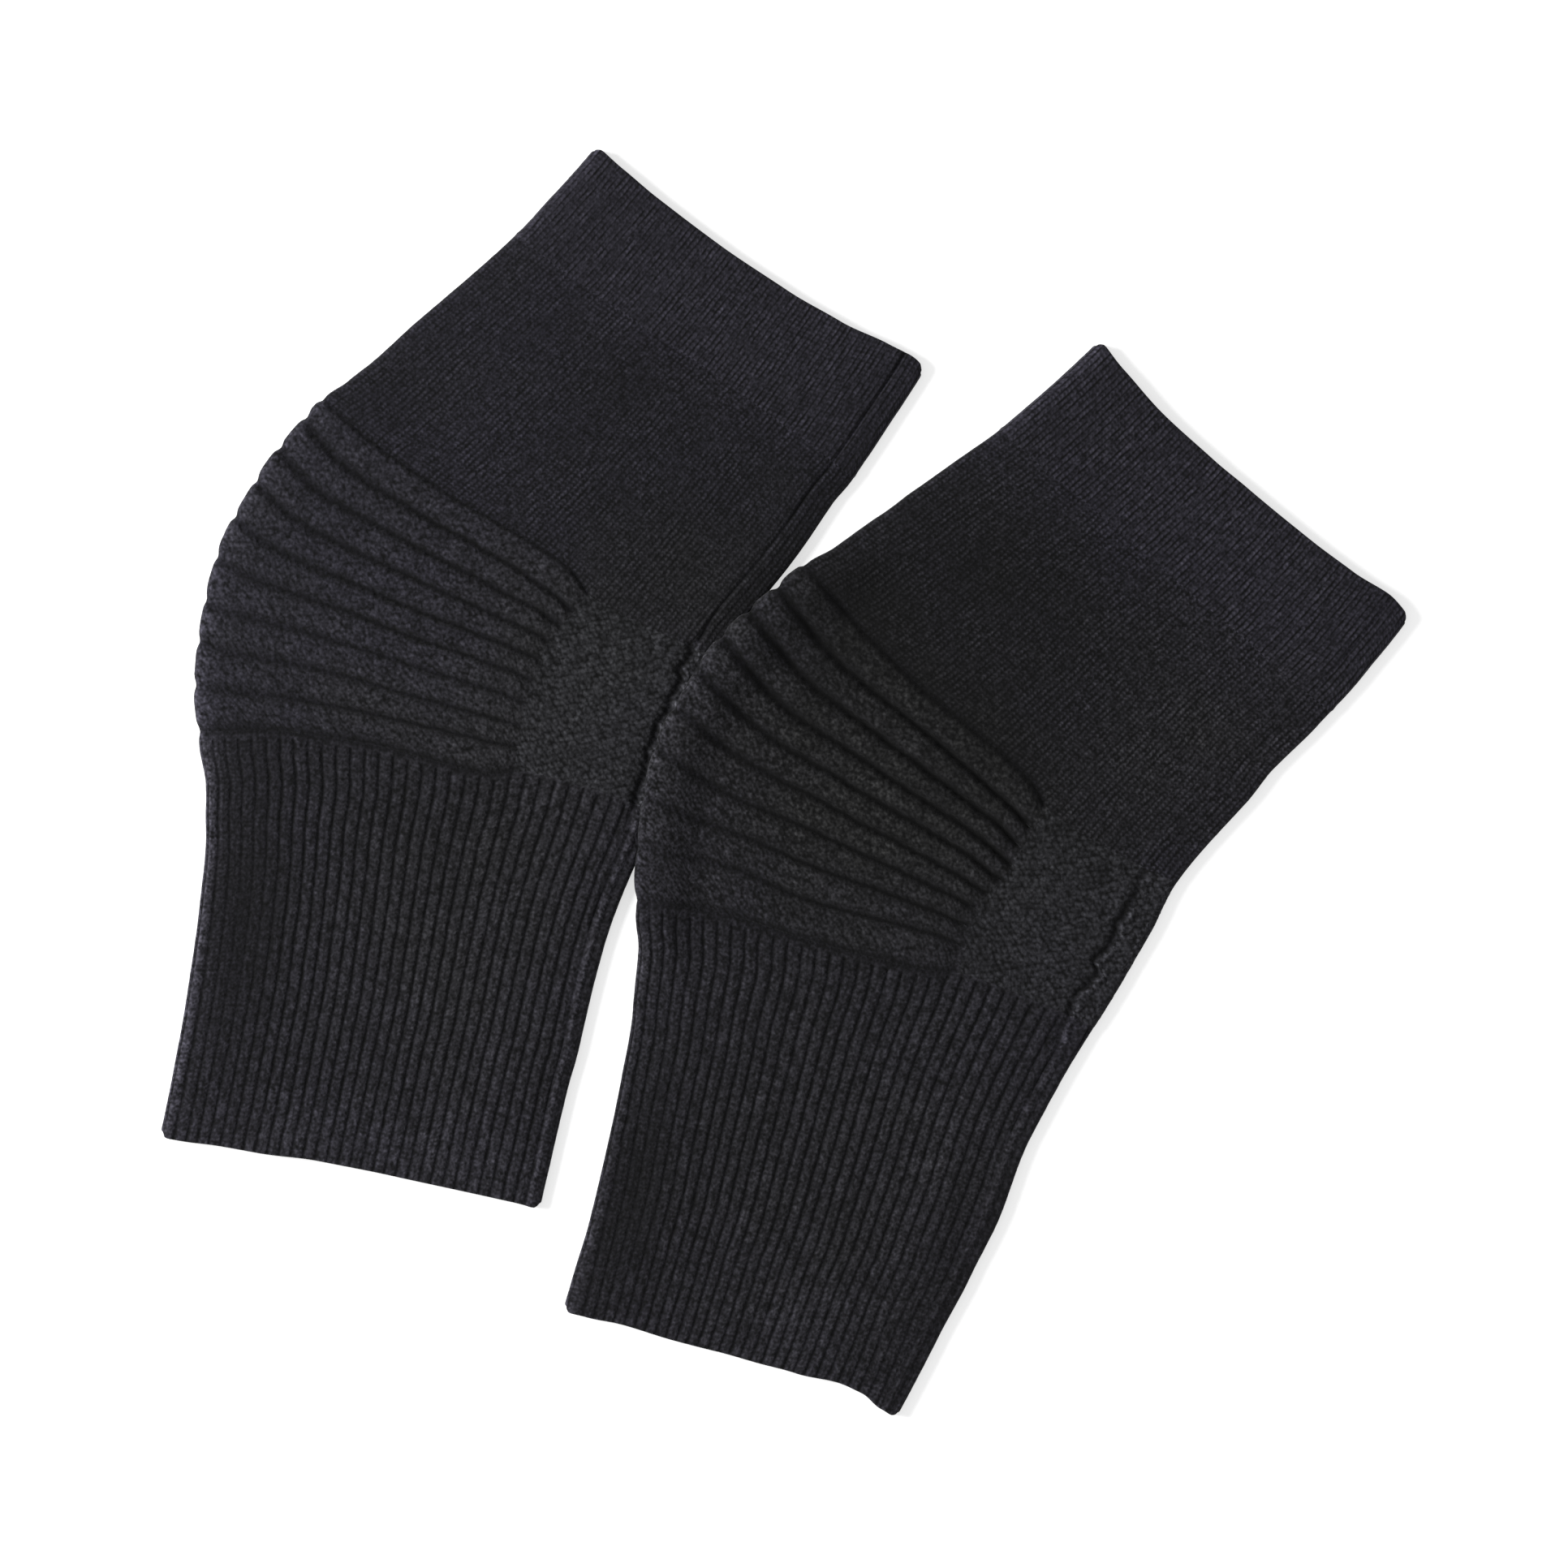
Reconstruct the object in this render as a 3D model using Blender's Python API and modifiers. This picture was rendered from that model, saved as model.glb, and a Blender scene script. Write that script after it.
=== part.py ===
"""Pair of knitted knee warmers, laid flat side by side.

Each warmer is a short tube pressed flat: an upper and a lower layer of cloth that
meet in a round fold at the front (the knee) and at the back. Its stitch changes in
zones, and each zone is one solid. A seam runs down the back, just inside the fold.
The front edge of the right warmer lies over the back edge of the left one.

Units are metres, +Z is up, and the pair lies on the plane z = 0.
"""
import math
from dataclasses import dataclass

import bpy
import numpy as np

MM = 0.001

# Cloth
WALL = 2.0 * MM             # thickness of the knit
LAYER_GAP = 0.6 * MM        # air between the two layers of a flattened tube
SEAM_TRIM = 0.2 * MM        # each piece stops this far from its seam line, so that
                            # 0.3 mm stays clear where the wall bends at a fold
LAP_CLEAR = 0.4 * MM        # between the two warmers where one lies on the other
SEAM_INSET = 8.0 * MM       # back seam, in from the back fold
RIDGES = 9                  # padded ridges across the knee
RIDGE_RISE = 0.8 * MM       # height of a ridge over its grooves

FOLD_RADIUS = (WALL + LAYER_GAP) / 2      # of the middle of the wall, round a fold
FOLD_REACH = FOLD_RADIUS + WALL / 2       # from a fold's axis to the outline
FOLD_STEPS = 4                            # facets round a fold
EDGE_ROW = 1.5 * MM                       # width of the row of facets along a seam
GUSSET_STATIONS = 4                       # points across each layer of the gusset
SHARP_ANGLE = math.radians(50)            # edges sharper than this are shaded sharp

# The right warmer's front edge, lifted over the left one
LAP_LIFT = 2 * WALL + LAYER_GAP + LAP_CLEAR
LAP_FLAT = 6.0 * MM         # width that lies at full height
LAP_RUN_OUT = 26.0 * MM     # where it is back on the ground
LAP_START = (94 * MM, 128 * MM)    # along the tube: lift begins, lift is full
LAP_END = (218 * MM, 262 * MM)     # along the tube: lift fades, lift is gone

# Distances along the tube, from the thigh opening, where the stitch changes
THIGH_HEM, CUFF_LINE, KNEE_TOP, KNEE_BOTTOM, CALF_HEM = (
    value * MM for value in (0, 43, 128, 223, 368))


@dataclass(frozen=True)
class Section:
    """One line across the flattened tube, from the front fold to the back fold.

    Points are in millimetres from the warmer's own place. `inner` is where the
    padded knee panel ends, or would end if it reached that far.
    """

    along: float
    front: tuple
    middle: tuple
    inner: tuple
    rear: tuple


@dataclass(frozen=True)
class Warmer:
    """One flattened tube: where it lies and the sections that give its shape."""

    name: str
    place: tuple
    sections: tuple
    front_steps: tuple      # distances from the front fold, in mm, where facets meet
    lapped: bool            # True if its front edge is lifted over its neighbour


LEFT = Warmer(
    name="left", place=(-106.25 * MM, 33 * MM), front_steps=(35, 75), lapped=False,
    sections=(
        #        along  front            middle          inner           rear
        Section(0.0, (39.5, 193.0), (78.5, 162.5), (116.5, 136.0), (154.5, 113.5)),
        Section(43.0, (10.5, 162.5), (45.0, 137.5), (91.5, 105.5), (131.0, 76.0)),
        Section(85.5, (-24.0, 132.0), (18.5, 101.5), (64.5, 69.5), (108.5, 44.5)),
        Section(128.0, (-58.5, 103.5), (-13.0, 69.5), (36.0, 34.0), (82.5, 12.0)),
        Section(159.7, (-85.0, 71.0), (-32.0, 42.5), (22.0, 17.0), (76.0, -4.0)),
        Section(191.3, (-101.5, 27.5), (-45.0, 14.0), (14.0, -5.0), (67.5, -25.0)),
        Section(223.0, (-102.5, -14.5), (-49.5, -18.5), (10.0, -27.5), (61.0, -44.0)),
        Section(271.0, (-101.0, -62.5), (-53.5, -67.0), (-2.0, -75.5), (42.5, -88.0)),
        Section(319.0, (-107.0, -111.0), (-61.0, -117.0), (-12.5, -126.0), (30.5, -136.5)),
        Section(368.0, (-115.5, -158.5), (-69.5, -165.5), (-22.5, -175.5), (19.5, -185.0)),
    ))

RIGHT = Warmer(
    name="right", place=(41.75 * MM, -28 * MM), front_steps=(8, 14, 20, 27, 70), lapped=True,
    sections=(
        #        along  front            middle          inner           rear
        Section(0.0, (71.0, 184.5), (104.5, 149.5), (144.5, 115.0), (180.0, 88.0)),
        Section(43.0, (35.5, 153.5), (72.5, 122.5), (115.5, 85.5), (153.5, 53.5)),
        Section(85.5, (1.0, 129.5), (42.0, 92.5), (85.0, 54.0), (126.5, 25.0)),
        Section(128.0, (-35.0, 105.0), (7.0, 62.0), (52.5, 18.5), (99.0, -7.0)),
        Section(159.7, (-65.5, 78.0), (-19.5, 40.0), (39.5, -1.5), (90.0, -24.0)),
        Section(191.3, (-87.0, 39.0), (-36.0, 13.0), (27.5, -17.0), (80.0, -41.0)),
        Section(223.0, (-94.0, -14.0), (-43.5, -26.0), (20.5, -39.5), (69.5, -59.0)),
        Section(271.0, (-97.0, -62.5), (-49.5, -75.0), (0.0, -86.5), (44.0, -104.5)),
        Section(319.0, (-106.5, -111.0), (-64.0, -122.5), (-17.5, -134.5), (23.0, -151.5)),
        Section(368.0, (-119.5, -160.0), (-81.0, -170.5), (-36.0, -182.5), (-0.5, -198.0)),
    ))

# Zone: colour, roughness
FINISHES = {
    "thigh_cuff": ((0.024, 0.024, 0.029), 0.92),
    "thigh_panel": ((0.019, 0.019, 0.022), 0.92),
    "knee_panel": ((0.023, 0.023, 0.024), 0.95),
    "gusset_upper": ((0.022, 0.023, 0.025), 0.94),
    "gusset_lower": ((0.022, 0.023, 0.025), 0.94),
    "calf_rib": ((0.020, 0.021, 0.024), 0.92),
}


def smooth_through(knots, values, at):
    """Value at each place in `at` of a smooth curve through `values` at `knots`."""
    knots, values = np.asarray(knots, float), np.asarray(values, float)
    width = np.diff(knots)
    shape = (-1,) + (1,) * (values.ndim - 1)
    rise = np.diff(values, axis=0) / width.reshape(shape)
    before, after = width[:-1].reshape(shape), width[1:].reshape(shape)
    inner = (after * rise[:-1] + before * rise[1:]) / (before + after)
    slope = np.concatenate([[2 * rise[0] - inner[0]], inner, [2 * rise[-1] - inner[-1]]])
    at = np.atleast_1d(np.asarray(at, float))
    cell = np.clip(np.searchsorted(knots, at, side="right") - 1, 0, len(width) - 1)
    step = width[cell].reshape(shape)
    u = ((at - knots[cell]) / width[cell]).reshape(shape)
    return ((1 + 2 * u) * (1 - u) ** 2 * values[cell]
            + u * (1 - u) ** 2 * step * slope[cell]
            + u * u * (3 - 2 * u) * values[cell + 1]
            + u * u * (u - 1) * step * slope[cell + 1])


def smoothstep(start, end, value):
    """Soft ramp from 0 at `start` to 1 at `end`."""
    u = min(max((value - start) / (end - start), 0.0), 1.0)
    return u * u * (3 - 2 * u)


class SectionLine:
    """The line across a warmer at one distance along the tube."""

    def __init__(self, warmer, along):
        knots = [row.along * MM for row in warmer.sections]
        rows = [(row.front, row.middle, row.inner, row.rear) for row in warmer.sections]
        self.points = smooth_through(knots, np.array(rows) * MM, along)[0]
        spans = np.linalg.norm(np.diff(self.points, axis=0), axis=1)
        self.knots = np.concatenate([[0.0], np.cumsum(spans)])
        self.width = self.knots[-1]
        self.inner = self.knots[2]
        self.seam = self.width - SEAM_INSET

    def at(self, distance):
        """Plan point at a distance from the front outline."""
        return smooth_through(self.knots, self.points, distance)[0]


def lap_lift(warmer, along, distance):
    """Height of the wall off the ground where the warmer lies on its neighbour."""
    if not warmer.lapped:
        return 0.0
    window = smoothstep(*LAP_START, along) * (1 - smoothstep(*LAP_END, along))
    return LAP_LIFT * window * (1 - smoothstep(LAP_FLAT, LAP_RUN_OUT, distance))


def ridge_rise(along, turn):
    """Outward rise of the wall: full on a ridge, nothing in a groove or underneath."""
    count = (along - KNEE_TOP) / (KNEE_BOTTOM - KNEE_TOP) * RIDGES
    in_groove = 0 < round(count) < RIDGES and abs(count - round(count)) < 0.01
    return 0.0 if in_groove else RIDGE_RISE * min(1.0, 1 + math.sin(turn))


def wall_point(warmer, along, line, distance, turn, ridged):
    """Middle of the wall at a distance from the front and a turn round a fold.

    A turn of 90 degrees is the upper layer, -90 the lower one, 0 the outline.
    """
    ahead = line.at(min(distance + MM, line.width))
    behind = line.at(max(distance - MM, 0.0))
    across = (ahead - behind) / np.linalg.norm(ahead - behind)
    outward = across if distance > line.width / 2 else -across
    rise = ridge_rise(along, turn) if ridged else 0.0
    plan = line.at(distance) + outward * (FOLD_RADIUS + rise) * math.cos(turn)
    height = FOLD_REACH + FOLD_RADIUS * math.sin(turn) + rise * max(math.sin(turn), 0.0)
    return np.array([plan[0], plan[1], height + lap_lift(warmer, along, distance)])


def layer(distances, side):
    """Stations across a flat layer: side is 1 for the upper one, -1 for the lower."""
    return [(distance, side * math.pi / 2) for distance in distances]


def fold(distance, first, last):
    """Stations round a fold, without its two ends, between two turns in degrees."""
    turns = np.linspace(first, last, FOLD_STEPS + 1)[1:-1]
    return [(distance, math.radians(turn)) for turn in turns]


def front_to(warmer, end):
    """Distances from the front fold's axis to `end`."""
    return [FOLD_REACH] + [step * MM for step in warmer.front_steps] + [end]


def ring_stations(warmer, line):
    """All round the tube, from the back seam over the back fold and back to it."""
    rear = line.width - FOLD_REACH
    front = front_to(warmer, line.inner)
    return (layer([line.seam + SEAM_TRIM, rear], 1) + fold(rear, 90, -90)
            + layer([rear] + front[::-1], -1) + fold(FOLD_REACH, -90, 90)
            + layer(front + [line.seam - SEAM_TRIM], 1))


def knee_stations(warmer, line):
    """From under the knee, round the front fold, to the gusset above it."""
    across = front_to(warmer, line.inner - SEAM_TRIM)
    return layer(across[::-1], -1) + fold(FOLD_REACH, -90, 90) + layer(across, 1)


def gusset_upper_stations(warmer, line):
    """From the knee panel to the back seam."""
    ends = (line.inner + SEAM_TRIM, line.seam - SEAM_TRIM)
    return layer(np.linspace(*ends, GUSSET_STATIONS), 1)


def gusset_lower_stations(warmer, line):
    """From the back seam, round the back fold and under, to the knee panel."""
    rear = line.width - FOLD_REACH
    under = np.linspace(rear, line.inner + SEAM_TRIM, GUSSET_STATIONS)
    return layer([line.seam + SEAM_TRIM, rear], 1) + fold(rear, 90, -90) + layer(under, -1)


# Zone: where it starts and ends along the tube, rows of facets, stations across
ZONES = {
    "thigh_cuff": (THIGH_HEM, CUFF_LINE, 4, ring_stations),
    "thigh_panel": (CUFF_LINE, KNEE_TOP, 6, ring_stations),
    "knee_panel": (KNEE_TOP, KNEE_BOTTOM, 3 * RIDGES, knee_stations),
    "gusset_upper": (KNEE_TOP, KNEE_BOTTOM, RIDGES, gusset_upper_stations),
    "gusset_lower": (KNEE_TOP, KNEE_BOTTOM, RIDGES, gusset_lower_stations),
    "calf_rib": (KNEE_BOTTOM, CALF_HEM, 10, ring_stations),
}


def wall_row(warmer, along, stations, ridged):
    """Middle of the wall at every station across, at one distance along the tube."""
    line = SectionLine(warmer, along)
    row = []
    for distance, turn in stations(warmer, line):
        row.append(wall_point(warmer, along, line, distance, turn, ridged))
    return np.array(row)


def trimmed(row, neighbour):
    """The row moved off its seam line, towards its neighbour."""
    step = neighbour - row
    return row + step / np.linalg.norm(step, axis=1)[:, None] * SEAM_TRIM


def wall_grid(warmer, zone):
    """Rows of points on the middle of a zone's wall, clear of the next zones."""
    start, end, count, stations = ZONES[zone]
    ridged = zone == "knee_panel"
    places = list(np.linspace(start, end, count + 1))
    if start > THIGH_HEM and not ridged:
        places.insert(1, start + EDGE_ROW)
    if end < CALF_HEM and not ridged:
        places.insert(-1, end - EDGE_ROW)
    rows = [wall_row(warmer, along, stations, ridged) for along in places]
    if start > THIGH_HEM:
        rows[0] = trimmed(rows[0], rows[1])
    if end < CALF_HEM:
        rows[-1] = trimmed(rows[-1], rows[-2])
    return rows


def finish(name, zone):
    """Plain knit material of a zone."""
    colour, roughness = FINISHES[zone]
    material = bpy.data.materials.new(name)
    material.use_nodes = True
    shader = material.node_tree.nodes["Principled BSDF"]
    shader.inputs["Base Color"].default_value = (*colour, 1.0)
    shader.inputs["Roughness"].default_value = roughness
    shader.inputs["Metallic"].default_value = 0.0
    return material


def add_zone(warmer, zone, collection, place):
    """One zone of a warmer: an open sheet, thickened to the cloth's wall."""
    rows = wall_grid(warmer, zone)
    across = len(rows[0])
    faces = []
    for i in range(len(rows) - 1):
        for j in range(across - 1):
            corner = i * across + j
            faces.append((corner, corner + across, corner + across + 1, corner + 1))
    name = f"{warmer.name}_{zone}"
    mesh = bpy.data.meshes.new(name)
    mesh.from_pydata(np.concatenate(rows).tolist(), [], faces)
    mesh.materials.append(finish(name, zone))
    mesh.shade_smooth()
    mesh.set_sharp_from_angle(angle=SHARP_ANGLE)
    piece = bpy.data.objects.new(name, mesh)
    collection.objects.link(piece)
    piece.parent = place
    wall = piece.modifiers.new("wall", "SOLIDIFY")
    wall.thickness = WALL
    wall.offset = 0.0
    wall.use_even_offset = True
    return piece


def main():
    """Build both warmers."""
    for thing in list(bpy.data.objects):
        bpy.data.objects.remove(thing, do_unlink=True)
    collection = bpy.data.collections.new("knee_warmers")
    bpy.context.scene.collection.children.link(collection)
    for warmer in (LEFT, RIGHT):
        place = bpy.data.objects.new(f"{warmer.name}_place", None)
        place.location = (*warmer.place, 0.0)
        collection.objects.link(place)
        for zone in ZONES:
            add_zone(warmer, zone, collection, place)
    bpy.context.view_layer.update()


main()
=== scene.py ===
"""Looks of a pair of knitted knee warmers, laid flat side by side.

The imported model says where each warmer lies. Each zone of the knit is drawn again as
a fine shell on the form of its solid, with its wales, ribs, padded ridges, back seam,
hems and soft creases as real relief, and is dressed in a knit finish.

Lengths are millimetres, but metres in the meshes, the flat sizes and the studio. +Z is
up.
"""

import logging
import math
from dataclasses import dataclass, field
from enum import Enum

import bpy
import numpy as np
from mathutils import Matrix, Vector
from numpy.typing import NDArray


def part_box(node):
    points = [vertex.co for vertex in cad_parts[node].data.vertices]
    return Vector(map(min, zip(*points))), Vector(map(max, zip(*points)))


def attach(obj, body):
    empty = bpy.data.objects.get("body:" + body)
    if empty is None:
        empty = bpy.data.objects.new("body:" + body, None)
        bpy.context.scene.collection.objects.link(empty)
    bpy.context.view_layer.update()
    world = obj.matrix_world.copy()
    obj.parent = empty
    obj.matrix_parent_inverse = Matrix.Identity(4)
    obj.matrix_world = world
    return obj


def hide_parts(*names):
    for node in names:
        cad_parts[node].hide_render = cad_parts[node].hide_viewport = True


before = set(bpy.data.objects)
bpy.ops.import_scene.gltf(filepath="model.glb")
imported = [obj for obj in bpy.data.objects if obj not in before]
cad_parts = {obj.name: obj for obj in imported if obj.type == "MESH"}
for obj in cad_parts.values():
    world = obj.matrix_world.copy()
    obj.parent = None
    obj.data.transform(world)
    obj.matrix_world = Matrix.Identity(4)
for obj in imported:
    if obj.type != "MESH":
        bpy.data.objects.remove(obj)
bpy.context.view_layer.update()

LOG = logging.getLogger("knee_warmers")
Array = NDArray[np.float64]
Colour = tuple[float, float, float]
Span = tuple[float, float]
Table = tuple[tuple[float, float], ...]         # places in order, each with its value
Bumps = tuple[tuple[float, float, float], ...]  # height, place and width of each

MM = 0.001
WHITE = (1.0, 1.0, 1.0, 1.0)

# The cloth and the fold of a flattened tube
WALL = 2.0                      # thickness of the knit
LAYER_GAP = 0.6                 # air between the two layers
FOLD = WALL + LAYER_GAP / 2     # radius of a fold's outer face
QUARTER = math.pi * FOLD / 2    # arc from the outline to the flat of a layer
WALES = 79                      # columns of stitches across one layer
RIBS = 33                       # ribs across one layer of the calf
RIDGES = 9                      # padded ridges across the knee
COURSE = 1.6                    # height of a row of stitches

# Where the stitch changes, in distance along the tube from the thigh opening
THIGH_HEM = 0.0
CUFF_LINE = 43.0
KNEE_TOP = 128.0
KNEE_BOTTOM = 223.0
CALF_HEM = 368.0
RIDGE_PITCH = (KNEE_BOTTOM - KNEE_TOP) / RIDGES

# The right warmer's front edge, lifted over the left one
LAP_LIFT = 2 * WALL + LAYER_GAP + 0.4
LAP_FLAT = 6.0
LAP_RUN_OUT = 26.0
LAP_START = (94.0, 128.0)
LAP_END = (218.0, 262.0)


def smoothstep(start: float | Array, end: float | Array, value: Array) -> Array:
    """Soft ramp from 0 at start to 1 at end.

    Args:
        start: where the ramp is 0.
        end: where the ramp is 1.
        value: the places to read it at.

    Returns:
        The ramp's height at each place.
    """
    u = np.clip((value - start) / (end - start), 0.0, 1.0)
    return u * u * (3 - 2 * u)


def between(rise: Span, fall: Span, value: Array) -> Array:
    """1 between a soft rise and a soft fall, and 0 outside them."""
    return smoothstep(*rise, value) * (1 - smoothstep(*fall, value))


def bell(distance: Array, width: float | Array) -> Array:
    """Soft hump that is 1 at distance 0 and small beyond its width."""
    return np.exp(-((distance / width) ** 2))


def bumps(rows: Bumps, distance: Array) -> Array:
    """The sum of soft humps and hollows at distances."""
    return sum(height * bell(distance - place, width) for height, place, width in rows)


def grown(share: float, reach: float, arc: Array) -> Array:
    """A share at the front outline that grows softly to 1 at the reach."""
    return share + (1 - share) * smoothstep(0.0, reach, arc)


def eased(table: Table, at: Array) -> Array:
    """Values of a table of places and values, eased from each to the next.

    Args:
        table: places, in order, each with its value.
        at: where to read it.

    Returns:
        The values there.
    """
    places, values = (np.array(part) for part in zip(*table))
    cell = np.clip(np.searchsorted(places, at) - 1, 0, len(places) - 2)
    return values[cell] + (values[cell + 1] - values[cell]) * smoothstep(
        places[cell], places[cell + 1], at)


def smooth_curve(knots: Array, values: Array, at: Array) -> Array:
    """Smooth curves through points, one curve in each row.

    Args:
        knots: places of the points, (rows, points).
        values: the points, (rows, points, axes).
        at: where to read each curve, (rows, places).

    Returns:
        The curves at those places, (rows, places, axes).
    """
    width = np.diff(knots, axis=1)[..., None]
    rise = np.diff(values, axis=1) / width
    before, after = width[:, :-1], width[:, 1:]
    inner = (after * rise[:, :-1] + before * rise[:, 1:]) / (before + after)
    slope = np.concatenate(
        [2 * rise[:, :1] - inner[:, :1], inner, 2 * rise[:, -1:] - inner[:, -1:]], axis=1)
    cell = (at[..., None] >= knots[:, None, 1:-1]).sum(axis=-1)[..., None]

    def pick(source: Array, shift: int = 0) -> Array:
        """The rows' values at each place's cell."""
        return np.take_along_axis(source, cell + shift, axis=1)

    step = pick(width)
    u = (at[..., None] - pick(knots[..., None])) / step
    return ((1 + 2 * u) * (1 - u) ** 2 * pick(values) + u * (1 - u) ** 2 * step * pick(slope)
            + u * u * (3 - 2 * u) * pick(values, 1) + u * u * (u - 1) * step * pick(slope, 1))


def placed(name: str, data: bpy.types.ID) -> bpy.types.Object:
    """A new object of the given data, in the scene.

    Args:
        name: the object's name.
        data: its mesh, lamp or camera.

    Returns:
        The object.
    """
    thing = bpy.data.objects.new(name, data)
    bpy.context.scene.collection.objects.link(thing)
    return thing


class Unevenness:
    """Smooth random ripple between -1 and 1, the same in every run."""

    SIZE = 61

    def __init__(self, seed: int) -> None:
        """Draw the ripple's table from a seed."""
        self.table = np.random.default_rng(seed).uniform(-1, 1, (self.SIZE, self.SIZE))

    def at(self, x: Array, y: Array) -> Array:
        """The ripple at places given in units of its own grain.

        Args:
            x: places one way.
            y: places the other way.

        Returns:
            The ripple at each place.
        """
        left, low = np.floor(x), np.floor(y)
        u, v = x - left, y - low
        u, v = u * u * (3 - 2 * u), v * v * (3 - 2 * v)
        i, j = left.astype(int) % self.SIZE, low.astype(int) % self.SIZE
        k, m = (i + 1) % self.SIZE, (j + 1) % self.SIZE
        near = self.table[i, j] * (1 - v) + self.table[i, m] * v
        far = self.table[k, j] * (1 - v) + self.table[k, m] * v
        return near * (1 - u) + far * u


@dataclass(frozen=True)
class Hollow:
    """A soft trough or swelling of the cloth, or a patch of painted light or shade on it.

    Arc is the distance from the front outline over the top, and lean turns the long
    axis from the tube's own direction towards the back. Amount is a height, or a
    share of the colour added as painted light or shade, of its greyness or of the
    contrast of the stitches.
    """

    along: float
    arc: float
    length: float
    width: float
    amount: float
    lean: float = 0.0

    def at(self, spots: "Spots") -> Array:
        """The amount at each spot.

        Args:
            spots: where on the tube.

        Returns:
            The amounts, which fade to 0 all round.
        """
        turn = math.radians(self.lean)
        ahead, aside = spots.along - self.along, spots.arc - self.arc
        lengthwise = (ahead * math.cos(turn) + aside * math.sin(turn)) / self.length
        crosswise = (aside * math.cos(turn) - ahead * math.sin(turn)) / self.width
        return self.amount * np.exp(-(lengthwise ** 2) - crosswise ** 2)


Hollows = tuple[Hollow, ...]


def hollows(*rows: tuple[float, ...]) -> Hollows:
    """Hollows, from the values of each in order."""
    return tuple(Hollow(*row) for row in rows)


def total(parts: Hollows, spots: "Spots") -> Array:
    """The sum of several hollows at each spot."""
    return sum(part.at(spots) for part in parts)


@dataclass
class Spots:
    """Places on the outer face of a tube.

    Girth is 0 at the front outline, 1 at the back outline reached over the top and
    -1 at the back outline reached underneath. Half is half the tube's girth. Edge and
    seam are the arcs from the front outline to the padded knee's end and to the seam.
    """

    along: Array
    girth: Array
    half: Array
    width: Array
    edge: Array
    seam: Array
    knots: Array
    points: Array

    @property
    def arc(self) -> Array:
        """Distance round the tube from the front outline, on either side."""
        return np.abs(self.girth) * self.half

    @property
    def from_rear(self) -> Array:
        """Distance round the tube from the back outline, on either side."""
        return self.half - self.arc

    @property
    def on_top(self) -> Array:
        """1 on the upper layer and the outlines, fading to 0 round each fold to below.

        Returns:
            A share from 0 to 1 for each spot.
        """
        near = np.minimum(self.arc, self.from_rear)
        turn = np.minimum(near / FOLD, math.pi / 2)
        return np.where(self.girth > 0, 1.0, 1 - np.sin(turn))

    @property
    def past_seam(self) -> Array:
        """Distance from the back seam towards the back outline, far off underneath."""
        return np.where(self.girth > 0, self.arc - self.seam, 1000.0)


@dataclass(frozen=True)
class Groove:
    """One groove across the knee: half its width and its depth at either end.

    Early and late are how far it strays towards the calf from its plain line, first
    near the front and then on its way into the gusset, and steady all the way.
    """

    front_width: float
    rear_width: float
    front_depth: float
    rear_depth: float
    early: float
    late: float
    steady: float


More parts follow.
